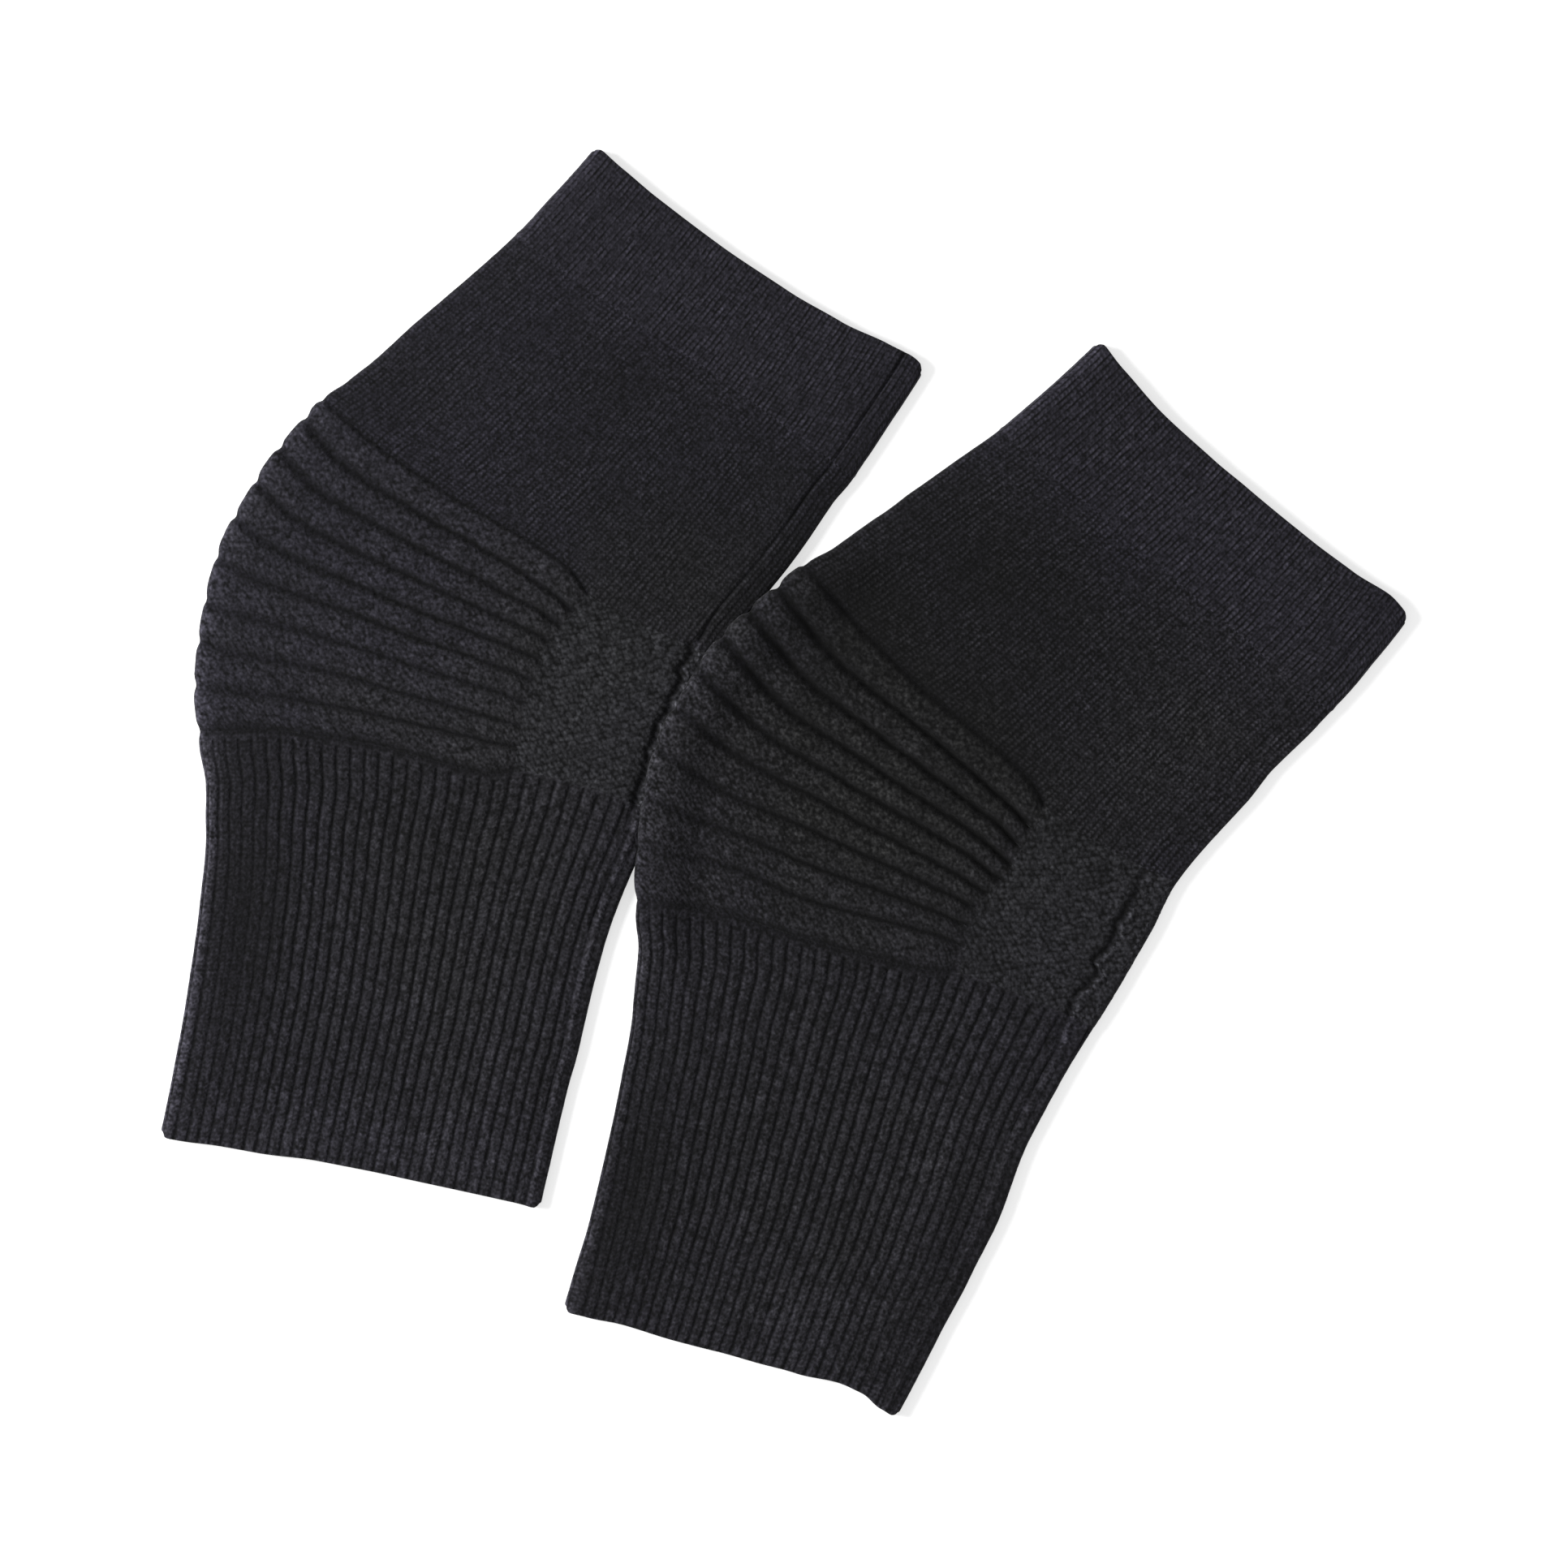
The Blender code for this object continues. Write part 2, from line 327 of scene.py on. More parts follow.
@dataclass
class Tube:
    """One flattened tube of knit: its plan, its folds and the lap at its front.

    Each section is a line across the tube: a distance along it, then the points of
    the front fold, the middle, the inner line and the back fold, from the warmer's own
    place. The inner line is where the padded knee ends, or would end. Seam holds the
    back seam's bends: a distance along the tube, and the arc from there to the back
    outline. Front_bulge and rear_bulge hold how far the outlines stand out from the
    sections' at distances along the tube, and top_hem and bottom_hem how far the hems
    stand out at shares of the girth.
    """

    name: str
    sections: tuple[tuple[float, ...], ...]
    grooves: tuple[Groove, ...]
    seam: Table
    front_bulge: Table
    rear_bulge: Table
    top_hem: Table
    bottom_hem: Table
    lapped: bool
    puff: float
    tip_rise: float
    seed: int
    place: tuple[float, float] = (0.0, 0.0)
    wander: Unevenness = field(init=False)

    BEND_REACH = (26.0, 22.0)   # how far the knee's bends go on above and below it
    EARLY = (0.2, 0.13)         # share of the girth where early stray is, and its width
    LATE = (0.34, 0.60)         # shares of the girth between which late stray sets in
    SETTLED = (0.62, 0.715)     # shares between which grooves come back to their lines
    TIP_REACH = 0.16            # share of the girth in which grooves turn up at the front
    TIP_RISE = (KNEE_TOP, KNEE_TOP + 12)            # where along the tube that begins
    TIP_FALL = (KNEE_TOP + 75, KNEE_BOTTOM + 5)     # and where it ends
    DRIFT = 0.5                 # how far rows stray at random

    def __post_init__(self) -> None:
        """Draw the wander of the rows."""
        self.wander = Unevenness(self.seed + 50)

    def bow(self, along: Array, girth: Array) -> Array:
        """How far rows of stitches swing towards the calf from their plain lines.

        Args:
            along: distances along the tube.
            girth: places round it.

        Returns:
            The swing at each place.
        """
        share = np.abs(girth)
        knots = KNEE_TOP + RIDGE_PITCH * np.arange(RIDGES + 1)
        early, late, steady = (
            np.interp(along, knots, [getattr(groove, stray) for groove in self.grooves])
            for stray in ("early", "late", "steady"))
        swing = (early * bell(share - self.EARLY[0], self.EARLY[1])
                 + (late * smoothstep(*self.LATE, share) + steady)
                 * (1 - smoothstep(*self.SETTLED, share)))
        above, below = self.BEND_REACH
        near = between((KNEE_TOP - above, KNEE_TOP), (KNEE_BOTTOM, KNEE_BOTTOM + below),
                       along)
        tip = self.tip_rise * np.clip(1 - share / self.TIP_REACH, 0, 1) ** 2
        tip = tip * between(self.TIP_RISE, self.TIP_FALL, along)
        drift = self.DRIFT * self.wander.at(share * 7, along * 0.03 + np.where(girth < 0, 20, 0))
        ends = between((0.0, 20.0), (CALF_HEM - 40, CALF_HEM), along)
        return (swing - tip) * near + drift * ends

    def settle(self) -> None:
        """Take the tube's place from the boxes of its CAD nodes."""
        boxes = [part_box(f"{self.name}_{zone.value}") for zone in Zone]
        centre = [(min(low[axis] for low, _ in boxes) + max(high[axis] for _, high in boxes))
                  / 2 / MM for axis in (0, 1)]
        along = np.linspace(THIGH_HEM, CALF_HEM, 185)
        ends = []
        for girth in (0.0, 0.25, 0.5, 0.75, 1.0):
            ends.append(self.face(self.spots(along, np.full_like(along, girth)))[0])
        plan = np.concatenate(ends)[:, :2]
        low, high = plan.min(axis=0), plan.max(axis=0)
        self.place = (centre[0] - (low[0] + high[0]) / 2, centre[1] - (low[1] + high[1]) / 2)

    def spots(self, along: Array, girth: Array) -> Spots:
        """Places on the tube's outer face.

        Args:
            along: distances along the tube, flat.
            girth: places round the tube, flat.

        Returns:
            The spots, with what the section tables say there.
        """
        table = np.array([self.sections], dtype=float)
        bowed = along + self.bow(along, girth)
        points = smooth_curve(table[..., 0], table[..., 1:], bowed[None])[0].reshape(-1, 4, 2)
        for edge, next_in, bulge in ((0, 1, self.front_bulge), (3, 2, self.rear_bulge)):
            outward = points[:, edge] - points[:, next_in]
            outward /= np.linalg.norm(outward, axis=1)[:, None]
            points[:, edge] += outward * eased(bulge, bowed)[:, None]
        spans = np.linalg.norm(np.diff(points, axis=1), axis=2)
        knots = np.concatenate([np.zeros((len(along), 1)), np.cumsum(spans, axis=1)], axis=1)
        width = knots[:, 3]
        half = width - 2 * FOLD + 2 * QUARTER
        edge = knots[:, 2] - FOLD + QUARTER
        return Spots(along, girth, half, width, edge, half - eased(self.seam, along), knots,
                     points)

    def plan(self, spots: Spots, distance: Array) -> Array:
        """Points across the sections at distances from the front outline."""
        return smooth_curve(spots.knots, spots.points, distance[:, None])[:, 0]

    def lift(self, spots: Spots, distance: Array) -> Array:
        """Height of the cloth off the ground where the tube lies on its neighbour.

        Args:
            spots: where on the tube.
            distance: how far across the tube each spot is from its front.

        Returns:
            The height at each spot.
        """
        if not self.lapped:
            return np.zeros_like(distance)
        window = between(LAP_START, LAP_END, spots.along)
        return LAP_LIFT * window * (1 - smoothstep(LAP_FLAT, LAP_RUN_OUT, distance))

    def face(self, spots: Spots) -> tuple[Array, Array]:
        """The plain outer face, with no relief.

        Args:
            spots: where on the tube.

        Returns:
            The points and the outward directions there.
        """
        arc, rest = spots.arc, spots.from_rear
        front, rear = arc < QUARTER, rest < QUARTER
        turn = np.where(front, arc, rest) / FOLD
        bent = front | rear
        reach = np.where(bent, np.cos(turn), 0.0)
        rise = np.where(bent, np.sin(turn), 1.0)
        distance = np.where(
            front, FOLD - FOLD * reach,
            np.where(rear, spots.width - FOLD + FOLD * reach, FOLD + arc - QUARTER))
        ahead = self.plan(spots, distance + 0.5)
        behind = self.plan(spots, distance - 0.5)
        across = ahead - behind
        across /= np.linalg.norm(across, axis=1)[:, None]
        side = np.where(spots.girth >= 0, 1.0, -1.0)
        outward = np.column_stack(
            [across * np.where(front, -reach, reach)[:, None], side * rise])
        inset = np.minimum(distance, spots.width - distance)
        swell = self.puff * smoothstep(0.0, 16.0, inset) * np.maximum(outward[:, 2], 0)
        height = FOLD + side * FOLD * rise + swell + self.lift(spots, distance)
        plan = self.plan(spots, distance) + self.place
        return np.column_stack([plan, height]), outward


class Zone(Enum):
    """Zones of the knit, by the names of their solids."""

    CUFF = "thigh_cuff"
    THIGH = "thigh_panel"
    KNEE = "knee_panel"
    GUSSET_UPPER = "gusset_upper"
    GUSSET_LOWER = "gusset_lower"
    CALF = "calf_rib"


@dataclass(frozen=True)
class Ridges:
    """The padded ridges over the knee, which sink into the gusset one by one.

    Dip and dip_reach are how deep and how far the thigh's cloth falls towards the
    first ridge. Reach holds how far the grooves run on past the padded panel's edge,
    at distances along the tube.
    """

    grooves: tuple[Groove, ...]
    dip: float
    dip_reach: float
    reach: Table
    painted_rim_highlight: float = 0.22           # painted highlight on the lower side of each of the first ridges
    rise: float = 0.8           # height of a ridge over the plain cloth
    crown: float = 0.55         # how far it falls away towards its grooves
    nap: float = 0.12           # height of its fuzz

    OWN = 0.45                  # share of a ridge's end that is its own, not its row's
    ROUNDED = 1.3               # how far the end is rounded back at its sides
    TO_REAR = (6.0, 70.0)       # arcs between which the grooves' rear sizes take over
    SHALLOW = 0.65, 7.0         # share of their depth at the front outline, and its reach
    LOW = 0.55, 9.0             # share of a ridge's height there, and its reach
    FLANKS = 1.15, 0.9          # how wide a groove is above its line and below it
    STEEP, ROUND = 2.2, 2.3     # shapes of a groove's sides and of a ridge's crown
    SUNK = 0.6, 0.22            # painted shade in the grooves at the front, and how much more behind
    DIP_SUNK, DIP_FADE = 0.55, 4.5      # painted shade on the thigh's cloth beside the first ridge, and its fade
    RIM_PLACE, RIM_WIDTH = 2.1, 0.9     # groove widths from groove to painted highlight, and its width
    RIM_RIDGES = 7              # ridges over which the painted highlights fade

    def count(self, spots: Spots) -> Array:
        """Ridges passed since the top of the knee: whole at each groove."""
        return (spots.along - KNEE_TOP) / RIDGE_PITCH

    def before_end(self, spots: Spots, tube: Tube) -> Array:
        """Arc left to the rounded, stepped end of the nearest ridge.

        Args:
            spots: where on the tube.
            tube: the tube.

        Returns:
            The arc, which is less than 0 past the end.
        """
        count = self.count(spots)
        ridge = np.clip(np.floor(count), 0, RIDGES - 1)
        middle = KNEE_TOP + (ridge + 0.5) * RIDGE_PITCH
        end = (tube.spots(middle, spots.girth).edge * self.OWN + spots.edge * (1 - self.OWN)
               + eased(self.reach, spots.along))
        return end - spots.arc - self.ROUNDED * (2 * (count - ridge) - 1) ** 2

    def height(self, spots: Spots, tube: Tube, spacing: Array, fuzz: Array, wobble: Array
               ) -> tuple[Array, Array]:
        """Relief of the ridges and of the cloth that runs down into the outer grooves.

        Args:
            spots: where on the tube.
            tube: the tube.
            spacing: true distance from one groove to the next there.
            fuzz: fine random ripple there.
            wobble: how far the grooves stray from their lines.

        Returns:
            Heights over the plain face, and painted shade, below 0 on a painted highlight.
        """
        count = self.count(spots)
        nearest = np.clip(np.round(count), 0, RIDGES).astype(int)
        table = np.array([(g.front_width, g.rear_width, g.front_depth, g.rear_depth)
                          for g in self.grooves])[nearest]
        left = self.before_end(spots, tube)
        grooved = smoothstep(-1.0, 2.0, left)
        share = smoothstep(*self.TO_REAR, spots.arc)
        shallow = grown(*self.SHALLOW, spots.arc)
        width = table[:, 0] * (1 - share) + table[:, 1] * share
        depth = (table[:, 2] * (1 - share) + table[:, 3] * share) * shallow * grooved
        away = (count - nearest) * spacing + wobble
        inside = (count > 0) & (count < RIDGES)
        width = width * np.where(away < 0, *self.FLANKS)
        away = np.abs(away)
        valley = np.exp(-((away / width) ** self.STEEP))
        crown = self.crown * np.abs(2 * (count - np.floor(count)) - 1) ** self.ROUND
        rise = self.rise * grown(*self.LOW, spots.arc)
        ridge = (rise - crown * shallow + self.nap * fuzz) * smoothstep(-1.0, 8.0, left)
        ridge = ridge * (1 - valley) - depth * valley
        dip = self.dip * (count < 0.5) * np.exp(-np.maximum(-count * spacing, 0)
                                                / self.dip_reach) * grooved
        beside = -dip - (depth - dip) * valley
        # Painted shade in the grooves and beside the first ridge, and a painted highlight on the
        # lower side of the first ridges.
        painted_shade = valley * depth * (self.SUNK[0] + self.SUNK[1] * share)
        thigh_dip_shade = self.DIP_SUNK * self.dip * (1 - inside) * np.exp(-away / self.DIP_FADE)
        painted_shade = np.maximum(painted_shade, thigh_dip_shade * grooved)
        painted_rim_highlight = bell((count - nearest) * spacing + self.RIM_PLACE * width, self.RIM_WIDTH)
        painted_rim_highlight = painted_rim_highlight * np.clip(1 - count / self.RIM_RIDGES, 0, 1)
        painted_shade = painted_shade - self.painted_rim_highlight * painted_rim_highlight * inside * grooved * share
        return np.where(inside, ridge, beside), painted_shade


@dataclass(frozen=True)
class Ribs:
    """The ribs of the calf, two wales wide, with a narrow groove between them."""

    drift: Table                # ribs passed early, at distances along
    drift_end: float = 2.0      # share of the girth at which the drift has gone
    groove: float = 0.6         # half the width of a groove
    depth: float = 0.9          # depth of a groove
    parting: float = 0.14       # depth of the parting between a rib's two wales
    crowd: float = 0.8          # how many more ribs there are near the front

    CROWD_REACH = 0.22          # share of the girth in which they are
    STEEP = 1.8                 # shape of a groove's sides
    ROUND = 0.35                # how far a rib falls away towards its grooves
    PARTING_WIDTH = 0.4
    SWAY = 0.05                 # how far grooves bend, in ribs

    def count(self, girth: Array, along: Array) -> Array:
        """Ribs passed since the front outline, closer together near it.

        Args:
            girth: places round the tube.
            along: distances along it.

        Returns:
            Ribs passed, less than 0 underneath.
        """
        share = np.abs(girth)
        crowd = self.crowd * ((1 - np.exp(-share / self.CROWD_REACH))
                              / (1 - math.exp(-1 / self.CROWD_REACH)))
        drifted = (between((0.0, 0.08), (0.92, 1.0), share)
                   * (1 - smoothstep(self.drift_end / 2, self.drift_end, share)))
        passed = share * (RIBS - self.crowd) + crowd - eased(self.drift, along) * drifted
        return np.sign(girth) * passed

    def height(self, spots: Spots, sway: Array) -> tuple[Array, Array]:
        """Relief of the ribs, and how deep in a groove each spot is, for its painted shade.

        Args:
            spots: where on the tube.
            sway: fine random ripple, which bends the grooves a little.

        Returns:
            Heights over the plain face, and 1 in a groove, 0 on a rib.
        """
        pitch = spots.half / RIBS
        count = self.count(spots.girth, spots.along) + 0.5 + sway * self.SWAY
        away = np.abs(count - np.round(count)) * pitch
        valley = np.exp(-((away / self.groove) ** self.STEEP))
        crest = (away / (pitch / 2)) ** 2
        parting = bell(away - pitch / 2, self.PARTING_WIDTH)
        height = -self.depth * valley - self.ROUND * (1 - crest) * (1 - valley)
        return height - self.parting * parting, valley


@dataclass(frozen=True)
class BackSeam:
    """The seam down the back: a fine line, with a string of beads beside the gusset.

    Crevice is how deep the cloth falls beside the beads and shadow how dark the
    painted shadow is there, line is how deep the plain line above them is, and string
    is how much lighter the beads are. Swell is how strong all that is at distances
    along the tube, and cord how strong the cord down the calf is.
    """

    crevice: float
    line: float
    shadow: float
    string: float
    swell: Table = ((0.0, 1.0), (400.0, 1.0))
    cord: Table = ((0.0, 1.0), (400.0, 1.0))
    first: float = KNEE_TOP - 3         # where the beads begin
    last: float = KNEE_BOTTOM + 10      # and where they end
    pitch: float = 2.9          # from one bead to the next
    wiggle: float = 0.5         # how far the crevice strays beside each bead
    seed: int = 5

    GUSSET = ((KNEE_TOP - 6, KNEE_TOP + 2), (KNEE_BOTTOM + 6, KNEE_BOTTOM + 14))
    CALF = (KNEE_BOTTOM + 4, KNEE_BOTTOM + 16)
    UNEVEN = 0.4                # how much slow ripple there is in all its parts
    BEAD_LENGTH, BEAD_WIDTH, SCATTER = 1.15, 0.95, 0.9
    LIP = ((0.25, 2.0, 1.2),)                        # beside the plain line
    BED = ((-0.25, 1.0, 1.0), (-0.3, 3.2, 0.8))      # what the beads lie in
    CORD = ((0.45, 2.0, 1.1), (-0.4, 4.6, 1.2))      # the cord and its far side
    CORD_TONE = ((0.28, 2.0, 1.2), (-0.12, 5.0, 1.6))
    STRING_TONE = ((0.15, 1.0, 1.1),)

    def beads(self) -> Array:
        """Places of the beads along the tube, a little unevenly."""
        places = np.arange(self.first, self.last, self.pitch)
        return places + np.random.default_rng(self.seed).uniform(-0.8, 0.8, len(places))

    def bead(self, spots: Spots) -> Array:
        """1 on a bead, 0 off it.

        Args:
            spots: where on the tube.

        Returns:
            How much of a bead is at each spot.
        """
        places = self.beads()
        nearest = places[np.abs(spots.along[:, None] - places).argmin(axis=1)]
        size = (0.9 + 0.4 * np.sin(nearest * 12.9)) * eased(self.swell, spots.along)
        off = spots.past_seam - 1.0 - self.SCATTER * np.sin(nearest * 4.1)
        return size * bell(spots.along - nearest, self.BEAD_LENGTH) * bell(off, self.BEAD_WIDTH)

    def height(self, spots: Spots, patchy: Array) -> tuple[Array, Array]:
        """Relief of the seam.

        Args:
            spots: where on the tube.
            patchy: slow random ripple that makes the line come and go.

        Returns:
            Heights over the plain face, and how dark each spot is painted: the line
            as a dark seam, the crevice and the cord's trough as painted shade.
        """
        along, uneven = spots.along, self.UNEVEN * patchy
        gusset = between(*self.GUSSET, along)
        waver = np.sin(along * 1.05 + 2 * np.sin(along * 0.37))
        past = spots.past_seam + self.wiggle * gusset * waver
        line = self.line * (0.8 + uneven) * bell(past, 0.7)
        plain = -0.8 * line + self.line * bumps(self.LIP, past)
        gap = (0.75 + uneven) * bell(past + 1.2, 1.3 + 0.3 * patchy) * eased(self.swell, along)
        beaded = -self.crevice * gap + bumps(self.BED, past) + self.bead(spots)
        trough = bell(past - 0.1, 0.6) * (0.85 + uneven) * eased(self.cord, along)
        cord = -0.9 * trough + bumps(self.CORD, past)
        calf = smoothstep(*self.CALF, along) * (1 - gusset)
        above = (1 - gusset) * (1 - calf)
        # The second value darkens the colour: the line as a dark seam, the crevice and the trough
        # beside the cord as painted shade.
        return (plain * above + beaded * gusset + cord * calf,
                0.8 * line * above + self.shadow * np.clip(gap, 0, 1) * gusset + trough * calf)


@dataclass
class Relief:
    """All the relief, the tone and the painted light and shade of one warmer's knit.

    Stretch_and_front_highlight holds how much lighter the cloth is beside the front
    outline, as a painted highlight on the lit fold and partly as lighter stretched
    stitches, and painted_rear_shade how much lighter, mostly darker, it is beside the
    back outline, as painted shade on that fold, at distances along the tube.
    Painted_light_and_shade holds patches of painted light and shade on the top,
    rib_fades where the ribs are faint, greys where the yarn has less blue and grains
    how crisp the stitches are.
    """

    tube: Tube
    ridges: Ridges
    seam: BackSeam
    creases: Hollows
    under_creases: Hollows
    painted_light_and_shade: Hollows
    stretch_and_front_highlight: Table
    painted_rear_shade: Table
    rib_fades: Hollows
    greys: Hollows
    grains: Hollows
    ribs: Ribs
    fine: Unevenness = field(init=False)
    slow: Unevenness = field(init=False)

    FUZZ, NAP = 0.62, 1.3       # ripples to a millimetre, of the fuzz and its finer part
    PATCH = 0.05                # and of slow patches
    CUFF_WALE = 0.30            # depth between columns of stitches in the cuff
    WALE_DROP = 0.20            # how much less it is above the knee
    CUFF_RISE = 0.22            # height of the row where the cuff ends
    PRESSED = 0.25              # how far the relief is pressed down on the underside
    STREAK = 0.035              # how much lighter or darker streaks are
    CUFF_TONE = 0.03, 0.06      # how much lighter the cuff's last row is, and how unevenly
    CUFF_BELOW = 0.10, 4.0      # how much lighter the cloth is below it, and how far
    CUFF_ABOVE = -0.03, 3.0     # and above it, where it is darker
    BAND_SHADE = 0.08                 # how much painted shade darkens the smooth row below the knee
    REAR_PLACE, REAR_WIDTH = 4.5, 3.2   # where the painted rear shade lies, from the back outline
    FADE = 0.85                 # how much of a rib goes where ribs are faint
    WALE_SHADE = 0.45           # painted shade in the valleys between plain stitches
    DEEPEST = 1.2               # the most painted shade a groove may have

    def __post_init__(self) -> None:
        """Draw the random ripples."""
        self.fine = Unevenness(self.tube.seed)
        self.slow = Unevenness(self.tube.seed + 1)

    def spacing(self, spots: Spots) -> Array:
        """True distance between grooves of the knee at each spot.

        Args:
            spots: where on the tube.

        Returns:
            The distances.
        """
        share = spots.arc / spots.half
        there = [self.tube.spots(spots.along + shift, spots.girth) for shift in (-0.5, 0.5)]
        before, after = (self.tube.plan(place, share * place.width) for place in there)
        return np.linalg.norm(after - before, axis=1) * RIDGE_PITCH

    def wales(self, spots: Spots) -> Array:
        """Columns of plain stitches above the knee, crisper in the cuff.

        Args:
            spots: where on the tube.

        Returns:
            Heights over the plain face, all 0 or less.
        """
        column = spots.girth * WALES
        drop = self.WALE_DROP * smoothstep(CUFF_LINE - 2, CUFF_LINE + 3, spots.along)
        wander = 0.12 * self.fine.at(column * 0.7, spots.along * 0.35)
        hollow = 0.5 - 0.5 * np.cos(2 * math.pi * (column + wander))
        return -(self.CUFF_WALE - drop) * hollow

    def moss(self, spots: Spots) -> Array:
        """Pebbled moss stitch of the gusset."""
        grain = self.fine.at(spots.arc * self.FUZZ, spots.along * self.FUZZ)
        return 0.14 * grain - 0.10

    def cuff_line(self, spots: Spots) -> Array:
        """The raised row where the cuff ends, 1 on it."""
        drift = 0.5 * self.slow.at(spots.arc * 0.06, spots.along * 0.0)
        return bell(spots.along - CUFF_LINE - drift + 1.2, 0.9)

    def heights(self, spots: Spots) -> tuple[Array, Array]:
        """Relief of the whole warmer.

        Args:
            spots: where on the tube.

        Returns:
            Heights over the plain face, and the painted shade at each spot, from 0 to 1.
        """
        along, arc = spots.along, spots.arc
        fuzz = (0.6 * self.fine.at(arc * self.FUZZ, along * self.FUZZ)
                + 0.4 * self.slow.at(arc * self.NAP + 7, along * self.NAP))
        slow = self.slow.at(arc * self.PATCH, along * self.PATCH)
        wobble = (0.32 * self.fine.at(arc * self.FUZZ, along * 0.2)
                  + 0.2 * self.slow.at(arc * 0.11, along * 0.1 + 30))
        knee, knee_groove_shade = self.ridges.height(spots, self.tube, self.spacing(spots), fuzz,
                                             wobble)
        left = self.ridges.before_end(spots, self.tube)
        padded = smoothstep(-1.0, 6.0, left)
        above_knee, below_knee = along <= KNEE_TOP, along >= KNEE_BOTTOM
        wales = self.wales(spots)
        near_knee = smoothstep(KNEE_TOP - 16, KNEE_TOP - 1, along)
        thigh = (wales * (1 - 0.5 * near_knee) + self.CUFF_RISE * self.cuff_line(spots)
                 + 0.05 * fuzz)
        rib_start = KNEE_BOTTOM + 0.4 + 1.2 * padded
        ribbed = smoothstep(rib_start, rib_start + 1.6, along)
        sway = self.fine.at(arc * 0.9, along * 0.55) + 0.5 * self.slow.at(arc * 0.2, along * .1)
        # The ribs' grooves get painted shade.
        ribs, rib_groove_shade = self.ribs.height(spots, sway)
        rib_groove_shade = rib_groove_shade * (0.95 + 0.5 * self.slow.at(arc * 0.6, along * 0.45))
        kept = 1 - self.FADE * np.clip(total(self.rib_fades, spots), 0, 1)
        ribs, rib_groove_shade = ribs * kept, rib_groove_shade * kept
        ribbed = ribbed * smoothstep(0.2, 1.2, np.abs(spots.past_seam - 3.2) - 3.0)
        calf = ribs * ribbed - 0.15 * (1 - ribbed) + 0.06 * fuzz
        gusset = self.moss(spots) * (1 - padded)
        beside = knee * smoothstep(-2.0, 2.0, left)
        height = np.where(above_knee, thigh + beside,
                          np.where(below_knee, calf + beside, knee + gusset))
        seam, seam_shade = self.seam.height(spots, slow)
        height = height + seam
        # Painted shade in the ribs' grooves, between plain stitches, in the knee's grooves and
        # along the seam.
        painted_shade = np.where(below_knee, rib_groove_shade * ribbed, 0.0)
        painted_shade = np.where(above_knee, self.WALE_SHADE * np.clip(-wales / self.CUFF_WALE, 0, 1),
                        painted_shade)
        painted_shade = np.clip(np.maximum(np.maximum(painted_shade, knee_groove_shade), seam_shade), 0, self.DEEPEST)
        crest = np.where(above_knee | below_knee, 0.0, self.ridges.rise * padded)
        top = spots.on_top
        creased = total(self.creases, spots)
        beneath = np.minimum(total(self.under_creases, spots), 0.0)
        flat = np.minimum(height - crest - self.PRESSED, 0.0) + beneath
        inset = smoothstep(1.0, 12.0, np.minimum(arc, spots.from_rear))
        return (height + creased * inset) * top + flat * (1 - top), painted_shade

    def grey(self, spots: Spots) -> Array:
        """How much of the yarn is the greyer one, from 0 to 1."""
        return np.clip(0.08 + total(self.greys, spots), 0.0, 1.0)

    def grain(self, spots: Spots) -> Array:
        """How strong the light and dark of the stitches is: 1 is plain."""
        return np.clip(1.0 + total(self.grains, spots), 0.4, 1.6)

    def tone(self, spots: Spots) -> Array:
        """Tone of the yarn, with painted light and shade: 1 is plain.

        Args:
            spots: where on the tube.

        Returns:
            What the brightness of the yarn is multiplied by.
        """
        along, arc = spots.along, spots.arc
        streak = self.slow.at(arc * 0.22, along * 0.028) + 0.6 * self.fine.at(
            arc * 0.11 + 9, along * 0.05)
        tone = 1.0 + self.STREAK * streak
        ragged = self.fine.at(arc * 0.4, along * 0.0)
        tone = tone + (self.CUFF_TONE[0] + self.CUFF_TONE[1] * ragged) * self.cuff_line(spots)
        below = along - CUFF_LINE - 1.5 * ragged
        for (amount, reach), there in ((self.CUFF_BELOW, below > 0), (self.CUFF_ABOVE, below < 0)):
            tone = tone + amount * bell(below, reach) * there
        beaded = (along > self.seam.first - 2) & (along < self.seam.last + 2)
        string = self.seam.bead(spots) + (bumps(self.seam.STRING_TONE, spots.past_seam)
                                          * eased(self.seam.swell, along))
        tone = tone + self.seam.string * string * beaded
        ribbed = smoothstep(KNEE_BOTTOM + 8, KNEE_BOTTOM + 20, along)
        cord = bumps(self.seam.CORD_TONE, spots.past_seam)
        tone = tone + cord * ribbed * eased(self.seam.cord, along)
        # Painted highlight along the lit front fold, partly also lighter stretched stitches.
        reach = 4.0 - 1.4 * smoothstep(KNEE_BOTTOM, KNEE_BOTTOM + 20, along)
        inward = np.maximum(arc - 3.0, 0) / reach
        tone = tone + eased(self.stretch_and_front_highlight, along) * np.exp(-inward ** 1.5)
        # Painted shade along the back fold.
        tone = tone + eased(self.painted_rear_shade, along) * bell(
            spots.from_rear - self.REAR_PLACE, self.REAR_WIDTH)
        # Painted shade on the smooth row under the last groove.
        painted_band_shade = bell(along - KNEE_BOTTOM - 0.5, 2.0) * (arc < spots.edge)
        tone = tone - self.BAND_SHADE * painted_band_shade
        # Patches of painted light and shade on the top, darkest in the creases.
        tone = tone + spots.on_top * total(self.painted_light_and_shade, spots)
        return np.clip(tone, 0.3, 2.0)


